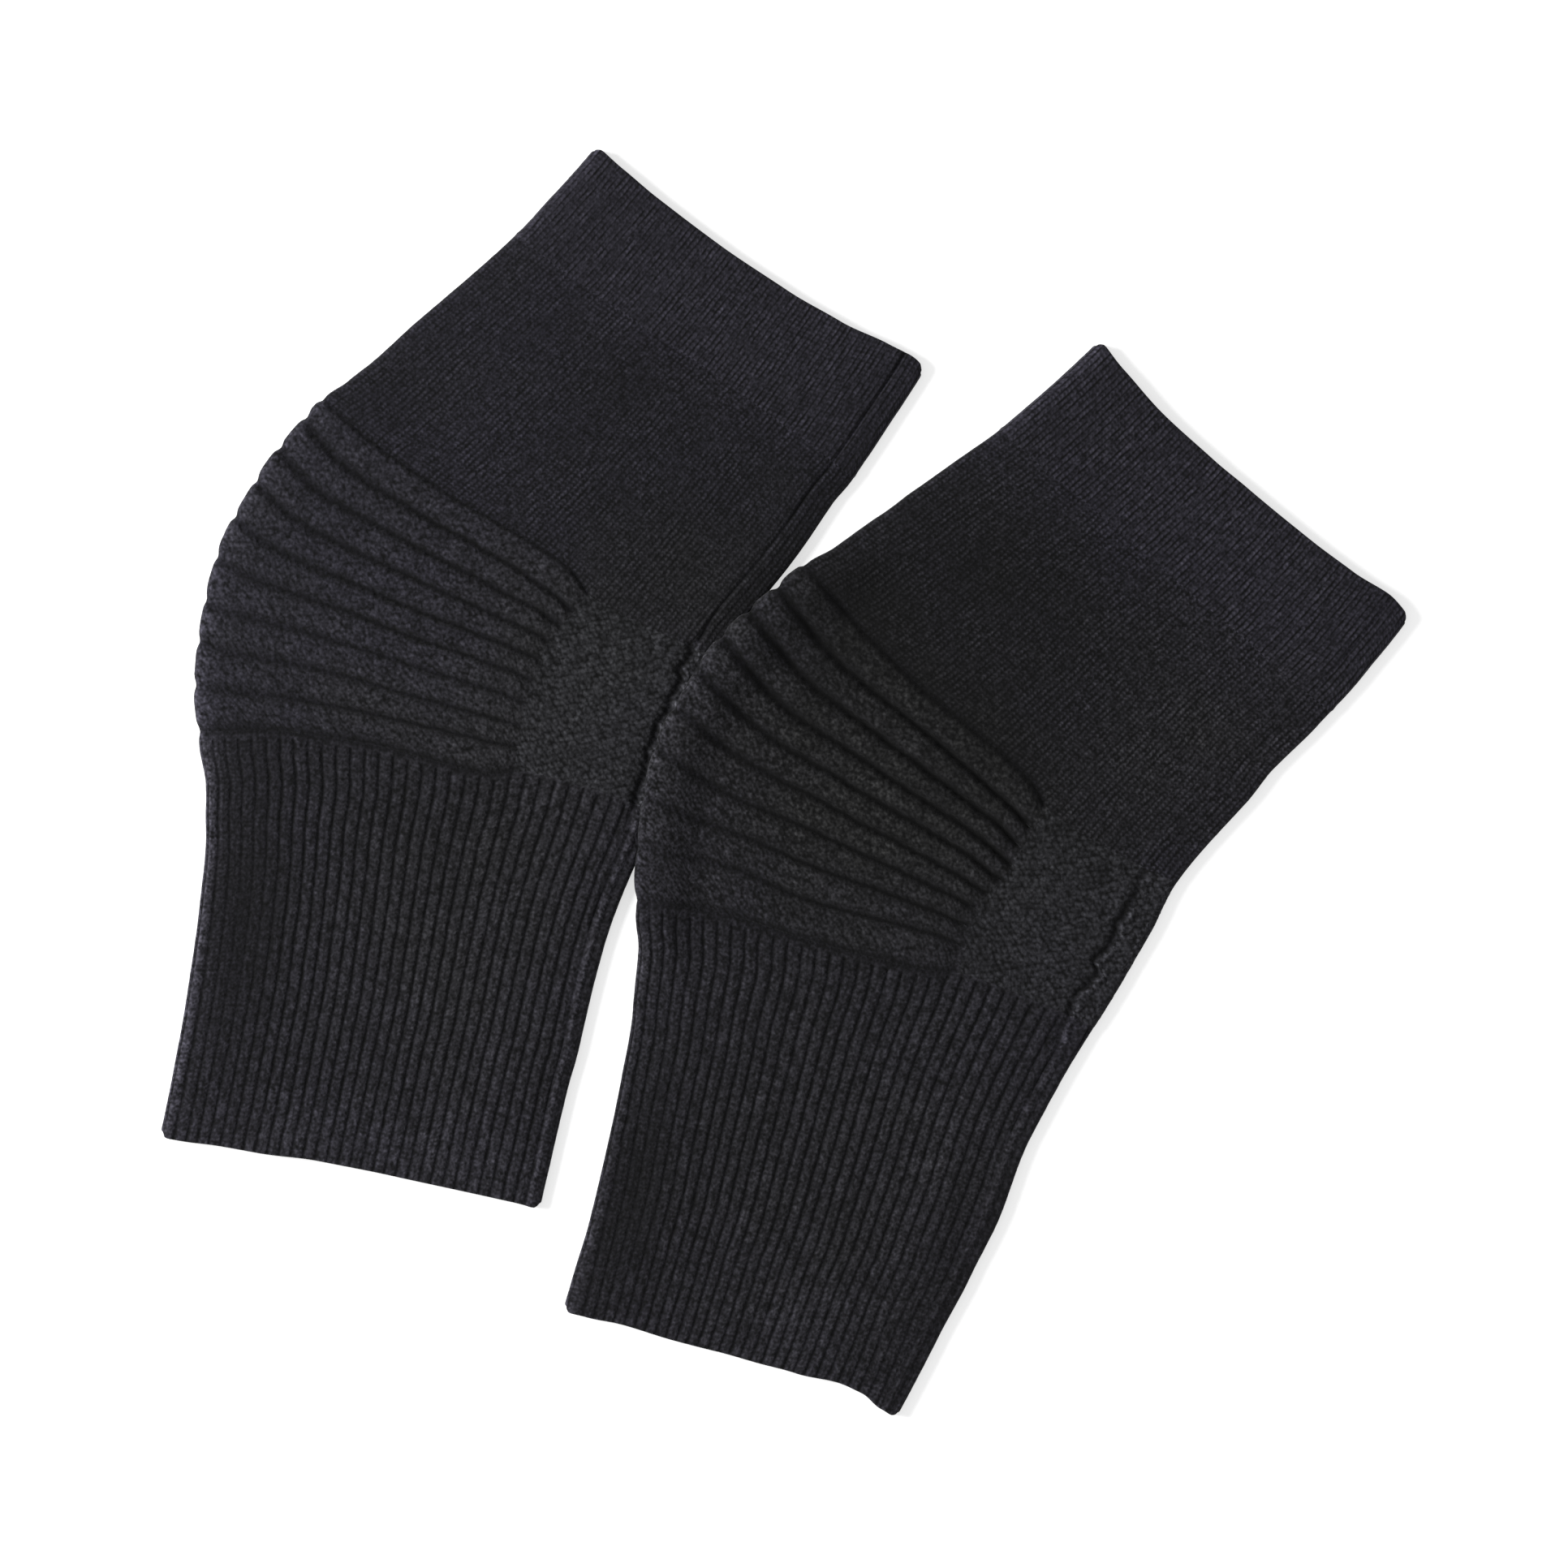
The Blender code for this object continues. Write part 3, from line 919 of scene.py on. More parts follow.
@dataclass(frozen=True)
class Finish:
    """A knit's colours and how its stitches show, by the name of its slot.

    Gauge is how much finer its stitches are than the plain ones. Wale, loop, scatter
    and fleck are the contrast of the valleys between wales, of the loops, from stitch
    to stitch and of loose fibres, and hollow how dark the painted shade is. Bump is
    the height of a stitch in mm, and stray how far stitches stray from their columns.
    Pebbled is how much pebbles take the place of loops, and jumble how uneven they are.
    """

    slot: str
    colour: Colour
    other_colour: Colour
    gauge: float
    wale: float
    loop: float
    scatter: float
    fleck: float
    bump: float
    hollow: float
    pebbled: float = 0.0
    jumble: float = 0.6
    stray: float = 0.8
    roughness: float = 0.92
    specular: float = 0.12
    sheen: float = 0.05
    sheen_roughness: float = 0.6


def linear(colour: Colour) -> tuple[float, float, float, float]:
    """A colour as it is written, turned into the values that a socket takes."""
    return (*[((part + 0.055) / 1.055) ** 2.4 for part in colour], 1.0)


def set_inputs(node: bpy.types.Node, values: dict[str, float | tuple[float, ...]]) -> None:
    """Set a node's inputs by their names."""
    for label, value in values.items():
        node.inputs[label].default_value = value


class Term:
    """A value in a node tree that sums can be written with."""

    def __init__(self, tree: bpy.types.NodeTree, socket: bpy.types.NodeSocket) -> None:
        """Hold a socket and the tree that it is in."""
        self.tree, self.socket = tree, socket

    def math(self, operation: str, *others: "Term | float") -> "Term":
        """The result of a Math node.

        Args:
            operation: the node's operation.
            others: its second and third values.

        Returns:
            The node's result.
        """
        node = self.tree.nodes.new("ShaderNodeMath")
        node.operation = operation
        for socket, value in zip(node.inputs, (self, *others)):
            if isinstance(value, Term):
                value.into(socket)
            else:
                socket.default_value = value
        return Term(self.tree, node.outputs[0])

    def __add__(self, other: "Term | float") -> "Term":
        """This plus another."""
        return self.math("ADD", other)

    def __sub__(self, other: "Term | float") -> "Term":
        """This less another."""
        return self.math("SUBTRACT", other)

    def __mul__(self, other: "Term | float") -> "Term":
        """This times another."""
        return self.math("MULTIPLY", other)

    def into(self, socket: bpy.types.NodeSocket) -> None:
        """Link this to an input."""
        self.tree.links.new(self.socket, socket)

    def wave(self) -> "Term":
        """A cosine with a period of 1."""
        return (self * (2 * math.pi)).math("COSINE")

    def mixed(self, other: "Term", share: "Term") -> "Term":
        """This, giving way to another as share goes from 0 to 1."""
        return self + (other - self) * share


class Weaver:
    """Builds the shader node groups once and a material for each finish."""

    KNOBS = ("Gauge", "Wale", "Loop", "Scatter", "Pebbled", "Jumble", "Stray")
    # Masks from the mesh: painted shade, the tone with painted light and shade, greyness and
    # grain.
    MASKS = ("Painted_Shade", "Tone", "Grey", "Grain")
    DISPLAY_POWER = 2.2         # how light goes with brightness as it is seen
    FUZZ, FIBRE, HEATHER = 860.0, 1300.0, 45.0      # noise scales, per metre
    PUSH, PULL, PATCHES = 330.0, 260.0, 130.0       # and of stray and of patches

    def __init__(self) -> None:
        """Build the node groups."""
        self.stitch = self.stitch_group()
        self.yarn = self.yarn_group()
        self.made: dict[str, bpy.types.Material] = {}

    @staticmethod
    def new_group(name: str, inputs: dict[str, str], outputs: dict[str, str]
                  ) -> tuple[bpy.types.NodeTree, dict[str, Term], bpy.types.Node]:
        """An empty shader node group.

        Args:
            name: the group's name.
            inputs: names of its inputs, each with Float, Color or Vector.
            outputs: names of its outputs, likewise.

        Returns:
            The group, its inputs' values and its output node.
        """
        group = bpy.data.node_groups.new(name, "ShaderNodeTree")
        for side, sockets in (("INPUT", inputs), ("OUTPUT", outputs)):
            for label, kind in sockets.items():
                group.interface.new_socket(label, in_out=side,
                                           socket_type=f"NodeSocket{kind}")
        start = group.nodes.new("NodeGroupInput")
        terms = {label: Term(group, start.outputs[label]) for label in inputs}
        return group, terms, group.nodes.new("NodeGroupOutput")

    @staticmethod
    def noise(vector: Term, scale: float, detail: float = 0.0) -> Term:
        """A Noise texture about 0, mostly between -0.3 and 0.3.

        Args:
            vector: the places it is read at.
            scale: its scale.
            detail: its detail.

        Returns:
            Its value there.
        """
        node = vector.tree.nodes.new("ShaderNodeTexNoise")
        set_inputs(node, {"Scale": scale, "Detail": detail})
        vector.into(node.inputs["Vector"])
        return Term(vector.tree, node.outputs["Fac"]) - 0.5

    @staticmethod
    def vector(x: Term, y: Term) -> Term:
        """A vector of two values.

        Args:
            x: its first value.
            y: its second value.

        Returns:
            The vector.
        """
        node = x.tree.nodes.new("ShaderNodeCombineXYZ")
        x.into(node.inputs[0])
        y.into(node.inputs[1])
        return Term(x.tree, node.outputs[0])

    def stitch_group(self) -> bpy.types.NodeTree:
        """Rows of knit loops, V-shaped down each wale, or the pebbles of moss stitch.

        Returns:
            The node group.
        """
        group, take, end = self.new_group(
            "knit_stitches",
            {"Stitch Map": "Vector", "Place": "Vector"} | dict.fromkeys(self.KNOBS, "Float"),
            {"Height": "Float", "Shade": "Float"})
        place = take["Place"]
        split = group.nodes.new("ShaderNodeSeparateXYZ")
        take["Stitch Map"].into(split.inputs[0])
        push, pull = (self.noise(place, scale, 1.0) for scale in (self.PUSH, self.PULL))
        wale = Term(group, split.outputs[0]) * take["Gauge"] + push * take["Stray"]
        course = Term(group, split.outputs[1]) * take["Gauge"] + pull * take["Stray"] * 1.5
        off = (wale.math("FRACT") - 0.5).math("ABSOLUTE")
        ridge = (off * math.pi).math("COSINE")
        row = course - off * 0.7
        loop = row.wave() * 0.5 + 0.5
        cell = group.nodes.new("ShaderNodeTexWhiteNoise")
        cell.noise_dimensions = "2D"
        self.vector(wale.math("FLOOR"), row.math("FLOOR")).into(cell.inputs["Vector"])
        chance = Term(group, cell.outputs["Value"]) - 0.5
        streak = self.noise(self.vector(wale, course * 0.3), 0.9) * 2.4 + 1.0
        streak = streak.math("MAXIMUM", 0.1)
        dash = self.noise(self.vector(wale * 1.5, course * 0.5 + 40.0), 1.0)
        patch = (self.noise(place, self.PATCHES, 1.0) * 1.4 + 1.0).math("MAXIMUM", 0.35)
        knit = ridge * (loop * 0.55 + 0.45) * (chance * 0.4 + 0.9)
        knit_shade = ((ridge - 0.62) * streak * take["Wale"]
                      + (loop - 0.5) * (ridge + 0.25) * take["Loop"])
        pebbles = group.nodes.new("ShaderNodeTexVoronoi")
        pebbles.voronoi_dimensions = "2D"
        set_inputs(pebbles, {"Scale": 1.0})
        slant = self.vector((wale + course) * 0.5, (wale - course) * 0.5)
        slant.into(pebbles.inputs["Vector"])
        take["Jumble"].into(pebbles.inputs["Randomness"])
        apart = Term(group, pebbles.outputs["Distance"])
        pebble = (apart * apart * -1.0 + 0.19) * 2.4 - (apart - 0.38) * 0.6
        tints = group.nodes.new("ShaderNodeSeparateColor")
        group.links.new(pebbles.outputs["Color"], tints.inputs[0])
        tint = Term(group, tints.outputs[0]) - 0.5
        height = knit.mixed(pebble * 0.5 + 0.5, take["Pebbled"])
        shade = knit_shade.mixed(pebble * take["Loop"], take["Pebbled"])
        mottle = (chance * 0.5 + dash * 1.6).mixed(tint * 0.7 + dash * 0.4, take["Pebbled"])
        shade = (shade + mottle * take["Scatter"]) * patch
        height.into(end.inputs["Height"])
        shade.into(end.inputs["Shade"])
        return group

    def yarn_group(self) -> bpy.types.NodeTree:
        """Colour and relief of fuzzy yarn, from its stitches and the mesh's masks.

        Returns:
            The node group.
        """
        group, take, end = self.new_group(
            "fuzzy_yarn",
            {"Colour": "Color", "Other Colour": "Color", "Place": "Vector"}
            | dict.fromkeys(("Height", "Shade", "Hollow Shade", "Fleck", *self.MASKS), "Float"),
            {"Colour": "Color", "Height": "Float"})
        place = take["Place"]
        coarse, fibre = self.noise(place, self.FUZZ), self.noise(place, self.FIBRE)
        light = take["Shade"] + (coarse * 1.6 + fibre * 0.7) * take["Fleck"]
        light = (light * take["Grain"] + 1.0).math("MAXIMUM", 0.15)
        # Painted shade in grooves and seams, then the tone with its painted light and shade.
        light = light * (take["Painted_Shade"] * take["Hollow Shade"] + 1.0) * take["Tone"]
        light = light.math("POWER", self.DISPLAY_POWER)
        heather = self.noise(place, self.HEATHER, 1.0) * 0.7
        # Where painted shade lies, more of the bluer colour is kept.
        heather = heather + take["Grey"] - take["Painted_Shade"] * 0.5
        heather = heather.math("MINIMUM", 1.0)
        blend = group.nodes.new("ShaderNodeMix")
        blend.data_type = "RGBA"
        colours = [socket for socket in blend.inputs if socket.type == "RGBA"]
        heather.math("MAXIMUM", 0.0).into(blend.inputs["Factor"])
        take["Colour"].into(colours[0])
        take["Other Colour"].into(colours[1])
        scale = group.nodes.new("ShaderNodeVectorMath")
        scale.operation = "SCALE"
        mixed = [socket for socket in blend.outputs if socket.type == "RGBA"][0]
        group.links.new(mixed, scale.inputs[0])
        light.into(scale.inputs["Scale"])
        group.links.new(scale.outputs[0], end.inputs["Colour"])
        (take["Height"] + coarse + fibre * 0.6).into(end.inputs["Height"])
        return group

    def material(self, finish: Finish) -> bpy.types.Material:
        """The material of a finish.

        Args:
            finish: its colour and how its stitches show.

        Returns:
            The material, made on its first use.
        """
        if finish.slot in self.made:
            return self.made[finish.slot]
        material = self.made[finish.slot] = bpy.data.materials.new(finish.slot)
        material.use_nodes = True
        tree = material.node_tree
        shader = tree.nodes["Principled BSDF"]
        set_inputs(shader, {"Roughness": finish.roughness, "Sheen Weight": finish.sheen,
                            "Specular IOR Level": finish.specular,
                            "Sheen Roughness": finish.sheen_roughness})
        place = tree.nodes.new("ShaderNodeTexCoord").outputs["Object"]
        stitch_map = tree.nodes.new("ShaderNodeUVMap")
        stitch_map.uv_map = "stitches"
        stitch = tree.nodes.new("ShaderNodeGroup")
        stitch.node_tree = self.stitch
        set_inputs(stitch, {label: getattr(finish, label.lower()) for label in self.KNOBS})
        tree.links.new(stitch_map.outputs["UV"], stitch.inputs["Stitch Map"])
        yarn = tree.nodes.new("ShaderNodeGroup")
        yarn.node_tree = self.yarn
        set_inputs(yarn, {"Colour": linear(finish.colour),
                          "Other Colour": linear(finish.other_colour),
                          "Fleck": finish.fleck, "Hollow Shade": -finish.hollow})
        for label in self.MASKS:
            mask = tree.nodes.new("ShaderNodeAttribute")
            mask.attribute_name = label.lower()
            tree.links.new(mask.outputs["Fac"], yarn.inputs[label])
        for label in ("Height", "Shade"):
            tree.links.new(stitch.outputs[label], yarn.inputs[label])
        for group in (stitch, yarn):
            tree.links.new(place, group.inputs["Place"])
        tree.links.new(yarn.outputs["Colour"], shader.inputs["Base Color"])
        bump = tree.nodes.new("ShaderNodeBump")
        set_inputs(bump, {"Distance": finish.bump * MM})
        tree.links.new(yarn.outputs["Height"], bump.inputs["Height"])
        tree.links.new(bump.outputs["Normal"], shader.inputs["Normal"])
        return material


@dataclass
class Panel:
    """A zone of one warmer, drawn as a grid of rows along the tube and columns round it.

    Attributes:
        relief: the warmer's tube and relief.
        zone: the zone.
        start: where it starts along the tube.
        end: where it ends.
        flat: width and length of its cut, in metres; not used.
        rests_on: nodes that it lies on; not used.
        area: area of its cut in square metres, where it isn't a rectangle; not used.
        row_step: distance from one row of the grid to the next.
    """

    relief: Relief
    zone: Zone
    start: float
    end: float
    flat: tuple[float, float]
    rests_on: tuple[str, ...] = ()
    area: float | None = None
    row_step: float = 1.2
    closed = True

    SHARP = math.radians(65)    # edges turned further than this stay sharp
    TURNED_IN = 18.0            # how far a hem's cloth goes on inside the tube
    HEM_ROWS = 6                # rows inside the tube
    HEM_STEPS = 6               # facets round the edge of a hem
    CLOSE = 9.0                 # how far from the knee the rows are close together
    CLOSE_STEP = 0.45           # and from one to the next there
    CORNER = 2.2                # how far a hem's corners are rounded back
    CORNER_WIDTH = 4.0          # from which distance to a side
    CORNER_FADE = 14.0          # and how far along the tube it is felt
    HEM_FADE = 40.0             # how far the bend of the calf's hem is felt

    @property
    def name(self) -> str:
        """The piece's name."""
        return f"{self.relief.tube.name}_{self.zone.value}_knit"

    def outer_rows(self) -> Array:
        """Distances along the tube of the rows on the outer face, close near the knee.

        Returns:
            The distances, in order.
        """
        first = self.start + WALL / 2 * (self.start == THIGH_HEM)
        last = self.end - WALL / 2 * (self.end == CALF_HEM)
        rows = np.linspace(first, last, round((last - first) / self.row_step) + 1)
        extra = np.arange(0.0, self.CLOSE, self.CLOSE_STEP)
        clear = self.CLOSE + 0.2
        if self.end == KNEE_TOP:
            return np.concatenate([rows[rows < KNEE_TOP - clear], KNEE_TOP - extra[::-1]])
        if self.start == KNEE_BOTTOM:
            return np.concatenate([KNEE_BOTTOM + extra, rows[rows > KNEE_BOTTOM + clear]])
        return rows

    def side(self, place: float) -> tuple[Array, Array]:
        """Rows that close the zone at one end, from inside to the outer face.

        Args:
            place: the end's distance along the tube.

        Returns:
            How far each row is from the end, and its depth below the outer face.
        """
        if place not in (THIGH_HEM, CALF_HEM):
            return np.zeros(2), np.array([WALL, WALL / 2])
        edge = np.linspace(-math.pi / 2, math.pi / 2, self.HEM_STEPS + 1)[1:-1]
        turned = np.linspace(self.TURNED_IN, WALL / 2, self.HEM_ROWS)
        return (np.concatenate([turned, WALL / 2 * (1 - np.cos(edge))]),
                np.concatenate([np.full(self.HEM_ROWS, WALL), WALL / 2 * (1 - np.sin(edge))]))

    def rows(self) -> tuple[Array, Array]:
        """All rows: distances along the tube, and depths below the outer face.

        Returns:
            Both, from inside one end to inside the other.
        """
        outer = self.outer_rows()
        before, first = self.side(self.start)
        after, last = self.side(self.end)
        return (np.concatenate([self.start + before, outer, self.end - after[::-1]]),
                np.concatenate([first, np.zeros(len(outer)), last[::-1]]))

    def girths(self, along: Array) -> tuple[Array, Array]:
        """Places round the tube of each column, and their depths.

        Args:
            along: the rows' distances along the tube.

        Returns:
            Girths, (rows, columns), and depths below the outer face, (columns,).
        """
        raise NotImplementedError

    def points(self) -> tuple[Array, Array, Array, dict[str, Array]]:
        """The grid's points, girths and courses, and the masks' values at each point.

        Returns:
            Points, (rows, columns, 3), girths and courses, (rows, columns), and masks,
            flat.
        """
        along, row_depth = self.rows()
        girth, column_depth = self.girths(along)
        shape = girth.shape
        where = np.repeat(along[:, None], shape[1], axis=1)
        depth = np.maximum(row_depth[:, None], column_depth[None]).ravel()
        tube = self.relief.tube
        spots = tube.spots(where.ravel(), girth.ravel())
        height, painted_shade = self.relief.heights(spots)
        spots = tube.spots(self.shaped_hems(spots), girth.ravel())
        face, outward = tube.face(spots)
        points = face + outward * (height * (1 - depth / WALL) - depth)[:, None]
        points[:, 2] = np.maximum(points[:, 2], 0.0)
        smooth = face.reshape(*shape, 3)
        steps = np.linalg.norm(np.diff(smooth, axis=0), axis=2)
        courses = np.concatenate([np.zeros((1, shape[1])), np.cumsum(steps, axis=0)]) / COURSE
        # Masks for the colour: painted shade, the tone with painted light and shade, greyness and
        # grain.
        masks = {"painted_shade": painted_shade, "tone": self.relief.tone(spots),
                 "grey": self.relief.grey(spots), "grain": self.relief.grain(spots)}
        return points.reshape(*shape, 3), girth, courses, masks

    def shaped_hems(self, spots: Spots) -> Array:
        """Distances along the tube with the hems' own bends and rounded corners.

        Args:
            spots: where on the tube.

        Returns:
            The new distances.
        """
        tube, share = self.relief.tube, spots.arc / spots.half
        inset = np.minimum(spots.arc, spots.from_rear) - QUARTER + FOLD
        along = spots.along
        bend = 1 - np.clip(inset / self.CORNER_WIDTH, 0.0, 1.0)
        corner = self.CORNER * (1 - np.sqrt(1 - bend ** 2))
        top = (corner * (1 - smoothstep(0.0, self.CORNER_FADE, along))
               - eased(tube.top_hem, share) * (1 - smoothstep(0.0, CUFF_LINE, along)))
        bottom = (corner * smoothstep(CALF_HEM - self.CORNER_FADE, CALF_HEM, along)
                  - eased(tube.bottom_hem, share)
                  * smoothstep(CALF_HEM - self.HEM_FADE, CALF_HEM, along))
        return along + top - bottom

    def build(self) -> bpy.types.Object:
        """Make the mesh, with its stitch map, its bake map and its masks.

        Returns:
            The piece, in place.
        """
        points, girth, courses, masks = self.points()
        rows, columns = girth.shape
        last = columns if self.closed else columns - 1
        i, j = np.meshgrid(np.arange(rows - 1), np.arange(last), indexing="ij")
        i, j = i.ravel(), j.ravel()
        right = (j + 1) % columns
        faces = np.stack([i * columns + j, (i + 1) * columns + j,
                          (i + 1) * columns + right, i * columns + right], axis=1)
        mesh = bpy.data.meshes.new(self.name)
        mesh.from_pydata((points.reshape(-1, 3) * MM).tolist(), [], faces.tolist())
        corner_rows = np.stack([i, i + 1, i + 1, i], axis=1).ravel()
        corner_columns = np.stack([j, j, j + 1, j + 1], axis=1).ravel()
        wide = np.concatenate([girth, girth[:, :1] + 2], axis=1)
        deep = np.concatenate([courses, courses[:, :1]], axis=1)
        stitches = np.column_stack([self.column(wide)[corner_rows, corner_columns],
                                    deep[corner_rows, corner_columns]])
        mesh.uv_layers.new(name="stitches").data.foreach_set("uv", stitches.ravel())
        laid = self.laid_out(points)[corner_rows, corner_columns]
        mesh.uv_layers.new(name="OFBake").data.foreach_set("uv", laid.ravel())
        for name, values in masks.items():
            mesh.attributes.new(name, "FLOAT", "POINT").data.foreach_set("value", values)
        mesh.shade_smooth()
        mesh.set_sharp_from_angle(angle=self.SHARP)
        return placed(self.name, mesh)

    def column(self, girth: Array) -> Array:
        """Stitch columns at places round the tube."""
        return girth * WALES

    def laid_out(self, points: Array) -> Array:
        """A flat map of the grid for baking: steps as long as they are on the mesh.

        Args:
            points: the grid's points.

        Returns:
            Each point's place on the map, from 0 to 1.
        """
        if self.closed:
            points = np.concatenate([points, points[:, :1]], axis=1)
        down = np.linalg.norm(np.diff(points, axis=0), axis=2).mean(axis=1)
        over = np.linalg.norm(np.diff(points, axis=1), axis=2).mean(axis=0)
        v = np.concatenate([[0.0], np.cumsum(down)])
        u = np.concatenate([[0.0], np.cumsum(over)])
        size = max(u[-1], v[-1]) * 1.01
        return np.stack(np.meshgrid(v, u, indexing="ij")[::-1], axis=-1) / size

    def add(self, weaver: Weaver, finish: Finish) -> bpy.types.Object:
        """Args:
            weaver: makes the material.
            finish: the zone's finish.

        Returns:
            The finished piece.
        """
        piece = self.build()
        piece.data.materials.append(weaver.material(finish))
        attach(piece, "root")
        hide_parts(f"{self.relief.tube.name}_{self.zone.value}")
        LOG.info("%s: %d faces", self.name, len(piece.data.polygons))
        return piece


def repeated(fractions: tuple[float, ...], count: int) -> Array:
    """A pattern of places from 0 to 1, repeated over count cells, ending at 1."""
    cells = np.arange(count)[:, None] + np.array(fractions)[None]
    return np.append(cells.ravel() / count, 1.0)


@dataclass
class Ring(Panel):
    """A zone that goes all round the tube."""

    upper: tuple[float, ...] = (0.0, 0.25, 0.5, 0.75)
    lower: tuple[float, ...] = (0.0, 0.5)
    cells: int = WALES

    def girths(self, along: Array) -> tuple[Array, Array]:
        """Even columns: fine over the top and round the folds, coarse underneath.

        Args:
            along: the rows' distances along the tube.

        Returns:
            Girths, (rows, columns), and depths below the outer face, (columns,).
        """
        top = repeated(self.upper, self.cells)
        beneath = -repeated(self.lower, self.cells)[::-1]
        ring = np.concatenate([beneath[1:-1], top])
        return np.repeat(ring[None], len(along), axis=0), np.zeros(len(ring))


@dataclass
class RibbedRing(Ring):
    """The calf, with columns of the mesh and of the stitches in step with its ribs."""

    def girths(self, along: Array) -> tuple[Array, Array]:
        """Columns at the same places on every rib, coarse underneath.

        Args:
            along: the rows' distances along the tube.

        Returns:
            Girths, (rows, columns), and depths below the outer face, (columns,).
        """
        share = np.linspace(0, 1, 400)
        rings = []
        for place in along:
            counts = self.relief.ribs.count(share, np.full_like(share, place))
            top = np.interp(repeated(self.upper, self.cells) * RIBS, counts, share)
            beneath = np.interp(repeated(self.lower, self.cells) * RIBS, counts, share)
            rings.append(np.concatenate([-beneath[-2:0:-1], top]))
        return np.array(rings), np.zeros(len(rings[0]))

    def column(self, girth: Array) -> Array:
        """Two stitch columns to a rib, the parting between them on its crest.

        Args:
            girth: places round the tube.

        Returns:
            The columns there.
        """
        turned = np.where(girth > 1, girth - 2, girth)
        along = np.broadcast_to(self.rows()[0][:, None], girth.shape)
        return 2 * (self.relief.ribs.count(turned, along) + 2 * RIBS * (girth > 1)) + 1


@dataclass
class Flap(Panel):
    """A zone that covers part of the way round, with its sides turned down.

    Columns are how many steps it has before the outline and after it, and spread is
    where its rows lie from each groove to the next.
    """

    closed = False
    columns = (60, 60)

    SPREAD = (0, .02, .045, .075, .11, .16, .24, .36, .5, .64, .76, .84, .89, .925, .955, .98)

    def outer_rows(self) -> Array:
        """Rows close together at each groove of the knee.

        Returns:
            The distances, in order.
        """
        return self.start + (self.end - self.start) * repeated(self.SPREAD, RIDGES)

    def sides(self, edge: Array, seam: Array) -> tuple[Array, Array, Array]:
        """Girths where the zone starts, has its outline and ends.

        Args:
            edge: girth of the padded knee's end at each row.
            seam: girth of the back seam at each row.

        Returns:
            The three girths at each row.
        """
        raise NotImplementedError

    def girths(self, along: Array) -> tuple[Array, Array]:
        """Columns spread between the zone's sides, with a flange down each side.

        Args:
            along: the rows' distances along the tube.

        Returns:
            Girths, (rows, columns), and depths below the outer face, (columns,).
        """
        spots = self.relief.tube.spots(along, np.zeros_like(along))
        first, middle, last = (side[:, None] for side in self.sides(
            spots.edge / spots.half, spots.seam / spots.half))
        before, after = (np.linspace(0, 1, count + 1)[None] for count in self.columns)
        grid = np.concatenate([first + (middle - first) * before[:, :-1],
                               middle + (last - middle) * after], axis=1)
        width = grid.shape[1]
        grid = np.concatenate([grid[:, :1]] * 2 + [grid] + [grid[:, -1:]] * 2, axis=1)
        flange = np.array([WALL, WALL / 2])
        depth = np.concatenate([flange, np.zeros(width), flange[::-1]])
        return grid, depth


@dataclass
class KneePad(Flap):
    """The padded panel over the knee, from under the front fold to the gusset."""

    columns = (60, 190)

    def sides(self, edge: Array, seam: Array) -> tuple[Array, Array, Array]:
        """From the inner line underneath to the inner line on top."""
        return -edge, np.zeros_like(edge), edge


@dataclass
class GussetTop(Flap):
    """The gusset behind the knee, from the padded panel to the back seam."""

    def sides(self, edge: Array, seam: Array) -> tuple[Array, Array, Array]:
        """From the inner line to the seam."""
        return edge, (edge + seam) / 2, seam


@dataclass
class GussetUnder(Flap):
    """The gusset from the back seam round the back fold and under to the knee."""

    columns = (32, 50)

    def sides(self, edge: Array, seam: Array) -> tuple[Array, Array, Array]:
        """From the seam, round the back outline, to the inner line underneath."""
        return seam, np.ones_like(seam), 2 - edge


